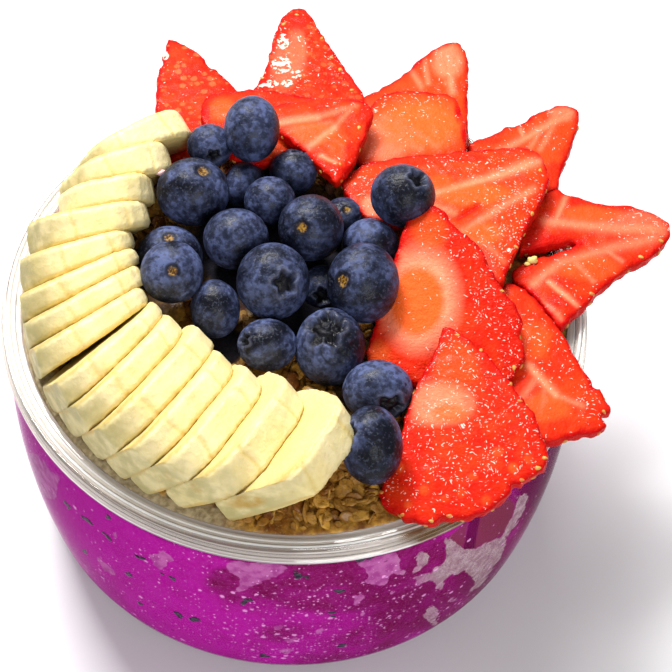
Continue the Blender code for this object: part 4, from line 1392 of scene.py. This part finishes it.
def banana_material(settings):
    material, nodes, shader = new_material("banana_flesh")
    cut = nodes.field("cut")
    dull = nodes.field("dull")
    groove = nodes.field("groove")
    heart = nodes.field("heart")
    bruise = nodes.field("bruise")
    soft = nodes.mottle(110.0, 4.0, 0.35, 0.75)
    colour = nodes.mix(nodes.times(soft, 0.5), settings.flesh, srgb(242, 220, 132))
    fibres = nodes.mottle(800.0, 5.0, 0.42, 0.7)
    colour = nodes.over(colour, fibres, 0.2, srgb(222, 200, 126))
    dim = nodes.mottle(240.0, 5.0, 0.5, 0.72)
    colour = nodes.over(colour, dim, 0.4, srgb(206, 190, 128))
    colour = nodes.mix(groove, colour, settings.groove)
    # Painted shade: a thin golden-brown line along the cut faces' edges, where the slices meet.
    lip = nodes.times(nodes.field("lip"), nodes.step(soft, 0.0, 1.0, 0.6, 1.0))
    colour = nodes.mix(lip, colour, srgb(204, 158, 58))
    face = nodes.mix(heart, srgb(238, 220, 154), settings.heart)
    ringed = nodes.mottle(620.0, 5.0, 0.4, 0.7)
    face = nodes.over(face, ringed, 0.35, srgb(226, 196, 112))
    inner = nodes.times(nodes.math("GREATER_THAN", heart, 0.7), 0.6)
    pips = nodes.times(nodes.specks(420.0, 0.2, 0.2), inner)
    face = nodes.mix(pips, face, srgb(150, 108, 52))
    colour = nodes.over(colour, cut, 0.85, face)
    # Painted shade: golden colour on the cut faces' edges at the outer ends, in the gaps between slices.
    colour = nodes.mix(nodes.field("gap"), colour, srgb(212, 164, 66))
    # Painted shade, patchy, on the outer ends next to the rim.
    patchy = nodes.mottle(210.0, 5.0, 0.3, 0.65)
    worn = nodes.times(dull, nodes.plus(patchy, 0.45), True)
    colour = nodes.mix(worn, colour, settings.dull)
    spots = nodes.mottle(330.0, 4.0, 0.3, 0.7)
    brown = nodes.times(bruise, spots, True)
    colour = nodes.mix(brown, colour, settings.bruise)
    height = nodes.plus(soft, nodes.times(fibres, 0.35))
    nodes.fill(shader, {
        "Base Color": colour,
        "Roughness": 0.45,
        "Normal": nodes.relief(height, 0.5, 0.35 * MM),
        "Specular IOR Level": 0.25,
        "Subsurface Weight": 0.15,
        "Subsurface Radius": (1.0, 0.75, 0.35),
        "Subsurface Scale": 1.2 * MM,
    })
    return material


class BOWL_OT_banana(Operator):
    """Fan out the banana slices along the rim"""

    bl_idname = "bowl.banana"
    bl_label = "Banana slices"

    def execute(self, context):
        settings = context.scene.bowl_banana
        material = banana_material(settings)
        for number in range(1, BANANA_COUNT + 1):
            node = f"banana_{number:02d}"
            piece = node_copy(node, f"banana_slice_{number:02d}", settings.grain, softening=1)
            self.shape(piece, number)
            finish_piece(piece, material, [node])
        return {"FINISHED"}

    def shape(self, piece, number):
        """Square the slice's ends, lean it outwards, groove its skin and keep its colour fields."""
        points = read_points(piece.data)
        normals = read_normals(piece.data)
        middle, along, up, through = slice_frame(points)
        offset = points - middle
        run = offset @ along
        rise = offset @ up
        half_run = np.abs(run).max()
        half_rise = np.abs(rise).max()
        angle = np.degrees(np.arctan2(rise / half_rise, run / half_run))
        ring = np.hypot(run / half_run, rise / half_rise)
        corners = np.abs(run / half_run) ** BANANA_SQUARENESS + np.abs(rise / half_rise) ** BANANA_SQUARENESS
        square = ring / np.maximum(corners, 1e-9) ** (1.0 / BANANA_SQUARENESS) - 1.0
        facing = np.abs(normals @ through)
        cut = clipped((facing - 0.72) / 0.2)
        groove = np.zeros(len(points))
        for line in BANANA_LINES_DEG:
            shift = angle - line - 4.0 * swell(points, 6.0 * MM, number)
            groove = np.maximum(groove, hump(shift, 1.6))
        groove *= 1.0 - cut
        lumps = 0.22 * swell(points, 7.0 * MM, number + 20) + 0.08 * swell(points, 2.2 * MM, number)
        edge = hump(facing - 0.75, 0.2)
        ragged = 0.45 * swell(points, 1.1 * MM, number + 44) * edge
        push = lumps - 0.2 * groove + 0.25 * cut + ragged
        radius = np.hypot(points[:, 0], points[:, 1])
        outer = clipped(-run / half_run)
        moved = points + normals * (push * MM)[:, None] - along * (outer * BANANA_REACH * MM)[:, None]
        moved += (run[:, None] * along + rise[:, None] * up) * square[:, None]
        spread = np.hypot(moved[:, 0], moved[:, 1])
        moved[:, :2] *= np.minimum(1.0, BANANA_LIMIT * MM / spread)[:, None]
        write_points(piece.data, moved)
        # Painted shade on the outer ends, beyond a radius.
        dull = clipped((-run / half_run - 0.35) / 0.5) * (radius > DULL_RADIUS * MM)
        # Painted shade in the wedges between slices, near their outer ends.
        gap = cut * clipped((ring - 0.72) / 0.16) * clipped(outer * 2.0)
        store(
            piece.data,
            cut=cut,
            # lip: painted shade along the cut faces' edges, where the slices meet.
            lip=0.8 * hump(facing - 0.9, 0.14),
            gap=gap * 0.9,
            groove=groove * 0.65,
            heart=clipped(1.25 - ring * 1.4),
            dull=dull * 0.68,
            bruise=within_ovals(picture_places(points), BRUISES),
        )


# ------------------------------------------------------------------ strawberries


def face_plane(points):
    """A point on the flat upper face of a thin slice and the direction square to it."""
    middle = points.mean(axis=0)
    _, vectors = np.linalg.eigh(np.cov((points - middle).T))
    out = vectors[:, 0] * np.sign(vectors[2, 0])
    return middle + out * ((points - middle) @ out).max(), out


def on_plane(plane_point, out, across, down):
    """Where the line of sight through a pixel meets a plane."""
    line = np.array(sight_line(across, down))
    start = np.array(CAMERA_PLACE)
    return start + line * (np.dot(plane_point - start, out) / np.dot(line, out))


def strawberry_material(settings):
    material, nodes, shader = new_material("strawberry_flesh")
    tone = nodes.field("tone")
    deep = nodes.field("deep")
    pale = nodes.field("pale")
    orange = nodes.field("orange")
    glare = nodes.field("glare")
    skin = nodes.field("skin")
    uneven = nodes.mottle(190.0, 5.0, 0.3, 0.7)
    fine = nodes.mottle(900.0, 4.0, 0.4, 0.7)
    lifted = nodes.plus(tone, nodes.times(uneven, 0.4))
    colour = nodes.mix(nodes.step(lifted, 0.1, 1.2), settings.flesh, settings.light)
    colour = nodes.mix(pale, colour, settings.pale)
    colour = nodes.mix(nodes.field("pink"), colour, srgb(248, 146, 110))
    colour = nodes.mix(orange, colour, settings.orange)
    colour = nodes.over(colour, fine, 0.16, settings.light)
    ragged = nodes.times(deep, nodes.step(uneven, 0.0, 1.0, 0.7, 1.1), True)
    colour = nodes.mix(ragged, colour, settings.edge)
    dimples = nodes.times(skin, nodes.specks(420.0, 0.55, 0.95))
    colour = nodes.over(colour, dimples, 0.5, srgb(255, 120, 66))
    # Painted highlights: near-white wet strokes and glare patches.
    flat = nodes.add("Attribute", attribute_name="flat").outputs["Vector"]
    strokes = speckled_strokes(nodes, flat, nodes.field("wet"))
    shine = nodes.mottle(760.0, 6.0, 0.44, 0.56)
    shine = nodes.times(glare, nodes.plus(shine, 0.1), True)
    white = nodes.larger(strokes, nodes.step(shine, 0.25, 0.55))
    colour = nodes.over(colour, white, 0.82, settings.sparkle)
    cells = nodes.add("TexVoronoi", {"Vector": flat, "Scale": 1250.0}).outputs["Distance"]
    wet = nodes.mottle(1500.0, 3.0, 0.4, 0.62)
    height = nodes.plus(nodes.times(cells, 0.7), wet)
    nodes.fill(shader, {
        "Base Color": colour,
        "Roughness": nodes.step(white, 0.0, 1.0, 0.42, 0.2),
        "Normal": nodes.relief(height, 0.5, 0.2 * MM),
        "Specular IOR Level": 0.06,
        "Coat Weight": 0.04,
        "Coat Roughness": 0.12,
    })
    return material


def speckled_strokes(nodes, flat, density):
    """Short painted highlight strokes along the flesh's fibres, closer together where density is higher."""
    total = None
    bent = nodes.warped(flat, 260.0, (0.004, 0.004, 0.0))
    for stretch_x, stretch_y, size in STROKES:
        inputs = {0: bent, 1: (stretch_x, stretch_y, 1.0)}
        scaled = nodes.add("VectorMath", inputs, operation="MULTIPLY").outputs[0]
        distance, parts = nodes.cells(scaled, 1.0)
        chosen = nodes.math("LESS_THAN", parts[0], nodes.times(density, 0.34))
        reach = nodes.step(parts[1], 0.0, 1.0, size * 0.4, size)
        spot = nodes.step(distance, reach, nodes.times(reach, 0.5))
        stroke = nodes.times(chosen, spot)
        total = stroke if total is None else nodes.larger(total, stroke)
    return total


def strawberry_seed_material(settings):
    material, nodes, shader = new_material("strawberry_seed")
    colour = nodes.mix(nodes.mottle(500.0, 2.0), settings.seed, srgb(196, 112, 44))
    nodes.fill(shader, {"Base Color": colour, "Roughness": 0.4})
    return material


class BOWL_OT_strawberry(Operator):
    """Lay the strawberry slices and set the seeds along their edges"""

    bl_idname = "bowl.strawberry"
    bl_label = "Strawberry slices"

    def execute(self, context):
        settings = context.scene.bowl_strawberry
        material = strawberry_material(settings)
        chance = random.Random(7)
        seed_places = []
        for number, (name, outline) in enumerate(STRAWBERRY_OUTLINES.items()):
            node = f"strawberry_{name}"
            plane_point, out = face_plane(read_points(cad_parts[node].data))
            corners = np.array([on_plane(plane_point, out, *pixel) for pixel in outline])
            piece = self.plate(f"strawberry_slice_{name}", corners, out, settings.grain)
            self.shape(piece, number, name, corners, out)
            tree = tree_of(piece)
            for pixel in STRAWBERRY_SEEDS.get(name, ()):
                seed_places.append(self.seed_place(*seen_at(tree, *pixel), chance))
            seed_places += self.seeds_along(corners, out, tree, chance)
            finish_piece(piece, material, [node])
        seed = ball(10, 6, 1.6 * MM, 1.0 * MM, 0.7 * MM)
        for corner in seed.data.vertices:
            corner.co.y *= 1.0 - 0.45 * corner.co.x / (0.85 * MM)
        seeds = join_copies("strawberry_seeds", [seed], seed_places)
        finish_piece(seeds, strawberry_seed_material(settings))
        return {"FINISHED"}

    def plate(self, name, corners, out, grain):
        """Fill the outline, pull it down to the slice's thickness and turn it into an even skin."""
        piece = corner_ring(name, corners, "NGON")
        depth = Vector(out) * (-SLICE_THICKNESS * MM)
        bpy.ops.mesh.extrude_region_move(TRANSFORM_OT_translate={"value": depth})
        face_outwards()
        return even_skin(piece, grain, softening=4)

    def shape(self, piece, number, name, corners, out):
        """Keep the slice's colour fields and make its face and edge uneven."""
        looks = STRAWBERRY_LOOKS[name]
        points = read_points(piece.data)
        normals = read_normals(piece.data)
        side = np.cross(out, (0.3, 1.0, 0.0))
        side /= np.linalg.norm(side)
        ahead = np.cross(out, side)
        flat = np.stack((points @ side, points @ ahead), axis=1)
        loop = np.stack((corners @ side, corners @ ahead), axis=1)
        edge_gap = gap_to_loop(flat, loop) / MM
        level = (points - corners[0]) @ out / MM
        pixels = picture_places(points)
        upper = clipped(1.0 + level / 1.2)
        rays, cleft = (near_lines(pixels, looks.get(key, ())) for key in ("rays", "cleft"))
        ovals = {key: within_ovals(pixels, looks.get(key, ())) for key in OVAL_LOOKS}
        wobble = 0.5 + 0.9 * swell(points, 2.6 * MM, number + 90)
        border = hump(edge_gap, 1.15) + 0.4 * hump(edge_gap, 3.4) * wobble
        deep = np.maximum(ovals["deep"], border) + cleft + (1.0 - upper) * 0.6
        store(
            piece.data,
            tone=looks["tone"],
            deep=clipped(deep),
            pale=clipped(np.maximum(ovals["pale"], rays) * upper),
            pink=ovals["pink"] * upper,
            orange=clipped(ovals["orange"] * upper - rays * 0.6),
            # glare and the wet glints mark where highlights are painted.
            glare=ovals["glare"] * upper,
            skin=looks.get("skin", 0.0),
            wet=(ovals["wet"] + 0.12) * upper,
        )
        vector = piece.data.attributes.new("flat", "FLOAT_VECTOR", "POINT")
        coordinates = np.column_stack((flat, np.full(len(points), number * 0.1)))
        vector.data.foreach_set("vector", coordinates.astype(np.float32).ravel())
        rim = hump(edge_gap, 1.3)
        bumps = 0.16 * swell(points, 1.9 * MM, number + 70) + 0.3 * swell(points, 7.0 * MM, number)
        bumps += 0.5 * (1.0 - np.exp(-edge_gap / 6.0)) - 0.25 * rays - 0.8 * cleft
        scallop = 0.5 * swell(points, 2.4 * MM, number + 50) - 0.1
        push = bumps * (1.0 - rim) + scallop * rim
        write_points(piece.data, points + normals * (push * MM)[:, None])

    def seed_place(self, place, normal, chance):
        return 0, lying(place, normal, chance.uniform(0.0, math.tau), chance.uniform(0.75, 1.1)), {}

    def seeds_along(self, corners, out, tree, chance):
        """Places for more seeds round the skin, below the cut face."""
        places = []
        gap = 0.0
        for start, end in zip(corners, np.roll(corners, -1, axis=0)):
            gap -= np.linalg.norm(end - start)
            if gap > 0.0:
                continue
            gap = chance.uniform(7.0, 14.0) * MM
            spot = Vector(start - out * chance.uniform(1.4, 2.6) * MM)
            near, normal, _, _ = tree.find_nearest(spot)
            places.append(self.seed_place(near, normal, chance))
        return places


# ------------------------------------------------------------------ blueberries


def blueberry_material(settings):
    material, nodes, shader = new_material("blueberry_skin")
    scar = nodes.field("scar")
    well = nodes.field("well")
    ring = nodes.field("ring")
    broad = nodes.mottle(110.0, 5.0, 0.33, 0.68)
    fine = nodes.mottle(620.0, 6.0, 0.38, 0.66)
    bloom = nodes.times(nodes.plus(fine, 0.35), broad, True)
    bloom = nodes.times(bloom, nodes.field("dust"), True)
    colour = nodes.mix(bloom, settings.skin, settings.bloom)
    scratches = nodes.mottle(1400.0, 4.0, 0.54, 0.66)
    colour = nodes.over(colour, scratches, 0.15, srgb(122, 131, 162))
    pits = nodes.specks(620.0, 0.25, 0.3)
    colour = nodes.over(colour, pits, 0.6, srgb(12, 12, 24))
    # Painted shade: near-black inside the crown's hollow and along the creases.
    inside = nodes.mix(fine, srgb(4, 4, 8), srgb(20, 21, 32))
    colour = nodes.mix(well, colour, inside)
    lip = nodes.times(nodes.field("lip"), 0.55)
    colour = nodes.mix(lip, colour, srgb(116, 120, 146))
    colour = nodes.over(colour, ring, 0.85, srgb(14, 14, 24))
    brown = nodes.mix(nodes.mottle(1500.0, 3.0, 0.4, 0.6), settings.scar, srgb(70, 44, 16))
    colour = nodes.mix(scar, colour, brown)
    height = nodes.math("SUBTRACT", fine, nodes.times(pits, 0.8))
    height = nodes.plus(height, nodes.times(scratches, 0.5))
    nodes.fill(shader, {
        "Base Color": colour,
        "Roughness": nodes.step(bloom, 0.0, 0.9, 0.36, 0.62),
        "Normal": nodes.relief(height, 0.5, 0.14 * MM),
        "Specular IOR Level": 0.2,
    })
    return material


class BOWL_OT_blueberries(Operator):
    """Heap up the blueberries, each with its crown and its stem scar"""

    bl_idname = "bowl.blueberries"
    bl_label = "Blueberries"

    def execute(self, context):
        settings = context.scene.bowl_blueberry
        material = blueberry_material(settings)
        for number, (name, row) in enumerate(BLUEBERRIES.items()):
            node = f"blueberry_{name}"
            berry = ball(72, 56, 2.0, 2.0, 2.0)
            berry.name = f"berry_{name}"
            self.shape(berry, number, row)
            self.place(berry, row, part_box(node))
            finish_piece(berry, material, [node])
        return {"FINISHED"}

    def shape(self, berry, number, row):
        """Press the crown into the top of a ball and the stem scar into its foot."""
        shown, _, _, wrinkles, spread, dust = row[4:]
        points = read_points(berry.data)
        unit = points / np.linalg.norm(points, axis=1)[:, None]
        polar = np.arccos(np.clip(unit[:, 2], -1.0, 1.0))
        turn = np.arctan2(unit[:, 1], unit[:, 0])
        polar -= 0.33 * np.sin(2.0 * polar)
        sideways = np.sin(polar)
        unit = np.stack((sideways * np.cos(turn), sideways * np.sin(turn), np.cos(polar)), axis=1)
        polar = np.degrees(polar)
        lobes = 0.5 + 0.5 * np.cos(5.0 * turn + number)
        uneven = 3.0 * swell(unit, 0.4, number + 60)
        reach = (15.5 + 6.0 * lobes + uneven) * spread
        rim = hump(polar - reach - 3.0, 3.5) * (0.4 + 0.6 * swell(unit, 0.25, number))
        inner = clipped((reach - polar) / 3.0)
        floor = inner * (0.19 + 0.05 * swell(unit, 0.2, number + 5))
        foot = 180.0 - polar
        scar_dent = hump(foot, 14.0)
        scar_ring = hump(foot - 15.5, 3.5)
        scar = clipped((9.5 - foot - 3.0 * swell(unit, 0.06, number)) / 2.0)
        ring = clipped((17.0 - foot) / 3.0) * (1.0 - scar)
        if shown == "plain":
            scar_dent = scar_ring = scar = ring = np.zeros(len(points))
        lump = 0.022 * swell(unit, 0.9, number) + 0.008 * swell(unit, 0.3, number + 40)
        folds = np.abs(swell(unit * np.array((1.0, 1.0, 1.6)), 0.42, number + 9))
        end_gap = foot if shown != "star" else polar
        fade = clipped(1.25 - np.abs(end_gap - 32.0) / 45.0)
        crease = clipped(1.0 - folds * 4.5) * fade * wrinkles
        push = 1.0 + lump - 0.035 * crease + 0.05 * rim - floor + 0.02 * scar_ring - 0.09 * scar_dent
        write_points(berry.data, unit * push[:, None])
        # The well: painted shade in the crown's hollow and, more faintly, in the creases.
        well = clipped(inner + 0.5 * crease)
        store(berry.data, scar=scar, well=well, lip=clipped(rim), ring=ring, dust=dust)

    def place(self, berry, row, box):
        """Turn the end that shows, stretch to the outline in the picture and move into place."""
        across, down, half_width, half_height, shown, end_across, end_down = row[:7]
        right = camera_right()
        share_across = (end_across - across) / half_width
        share_up = (down - end_down) / half_height
        nearness = math.sqrt(max(0.05, 1.0 - share_across ** 2 - share_up ** 2))
        facing = right * share_across + CAMERA_UP * share_up - CAMERA_FORWARD * nearness
        if shown == "plain":
            facing = Vector((0.2, 0.5, -1.0))
        end = Vector((0.0, 0.0, -1.0 if shown == "scar" else 1.0))
        turn = end.rotation_difference(facing).to_matrix()
        middle = (Vector(box[0]) + Vector(box[1])) / 2.0
        depth = (middle - CAMERA_PLACE).dot(CAMERA_FORWARD)
        line = sight_line(across, down)
        middle = CAMERA_PLACE + line * (depth / line.dot(CAMERA_FORWARD))
        pixel = depth * SENSOR_WIDTH / (bpy.context.scene.bowl_stage.lens * PICTURE_SIDE)
        axes = Matrix((right, CAMERA_UP, CAMERA_FORWARD)).transposed()
        sizes = Matrix.Diagonal((half_width, half_height, min(half_width, half_height) * 0.97)) * pixel
        shaping = (axes @ sizes @ axes.transposed() @ turn).to_4x4()
        berry.data.transform(Matrix.Translation(middle) @ shaping)


# ------------------------------------------------------------------ stage


def add_area_light(name, place, aim, side, power, colour):
    lamp = bpy.data.lights.new(name, "AREA")
    lamp.shape = "SQUARE"
    lamp.size = side
    lamp.energy = power
    lamp.color = colour
    holder = bpy.data.objects.new(name, lamp)
    holder.location = place
    holder.rotation_euler = (Vector(aim) - Vector(place)).to_track_quat("-Z", "Y").to_euler()
    bpy.context.scene.collection.objects.link(holder)


class BOWL_OT_stage(Operator):
    """Set the pale floor, the soft lamps and the camera"""

    bl_idname = "bowl.stage"
    bl_label = "Stage"

    def execute(self, context):
        scene = context.scene
        settings = scene.bowl_stage
        deselect()
        bpy.ops.mesh.primitive_plane_add(size=settings.floor_side, location=(0.0, 0.0, 0.0))
        floor = bpy.context.object
        floor.name = "floor"
        material, nodes, shader = new_material("floor")
        nodes.fill(shader, {"Base Color": (*settings.floor, 1.0), "Roughness": 0.9})
        floor.data.materials.append(material)
        world = bpy.data.worlds.new("studio")
        world.use_nodes = True
        background = world.node_tree.nodes["Background"]
        Nodes(world.node_tree).fill(background, {"Color": WORLD_COLOUR, "Strength": WORLD_STRENGTH})
        scene.world = world
        for lamp in LAMPS:
            add_area_light(*lamp)
        camera = bpy.data.objects.new("camera", bpy.data.cameras.new("camera"))
        camera.data.lens = settings.lens
        camera.data.sensor_width = SENSOR_WIDTH
        camera.data.clip_start, camera.data.clip_end = CAMERA_CLIP
        turn = Matrix((camera_right(), CAMERA_UP, -CAMERA_FORWARD)).transposed().to_4x4()
        camera.matrix_world = Matrix.Translation(CAMERA_PLACE) @ turn
        scene.collection.objects.link(camera)
        scene.camera = camera
        scene.view_settings.view_transform = "Standard"
        return {"FINISHED"}


# ------------------------------------------------------------------ panel and start


class BOWL_PT_panel(Panel):
    """Lists the bowl's pieces with their sizes and colours"""

    bl_label = "Smoothie bowl"
    bl_idname = "BOWL_PT_panel"
    bl_space_type = "VIEW_3D"
    bl_region_type = "UI"
    bl_category = "Smoothie bowl"

    def draw(self, context):
        layout = self.layout
        for name, settings in SETTINGS.items():
            box = layout.box()
            box.label(text=settings.__name__.replace("Settings", ""))
            for key in settings.__annotations__:
                box.prop(getattr(context.scene, name), key)
        for operator in OPERATORS:
            layout.operator(operator.bl_idname)


OPERATORS = (
    BOWL_OT_tub,
    BOWL_OT_puree,
    BOWL_OT_granola,
    BOWL_OT_banana,
    BOWL_OT_strawberry,
    BOWL_OT_blueberries,
    BOWL_OT_stage,
)


def register():
    for made in (*SETTINGS.values(), *OPERATORS, BOWL_PT_panel):
        bpy.utils.register_class(made)
    for name, settings in SETTINGS.items():
        setattr(bpy.types.Scene, name, PointerProperty(type=settings))


def unregister():
    for name in SETTINGS:
        delattr(bpy.types.Scene, name)
    for made in reversed((*SETTINGS.values(), *OPERATORS, BOWL_PT_panel)):
        bpy.utils.unregister_class(made)


def main():
    register()
    bpy.ops.bowl.tub()
    bpy.ops.bowl.puree()
    bpy.ops.bowl.granola()
    bpy.ops.bowl.banana()
    bpy.ops.bowl.strawberry()
    bpy.ops.bowl.blueberries()
    bpy.ops.bowl.stage()


if __name__ == "__main__":
    main()
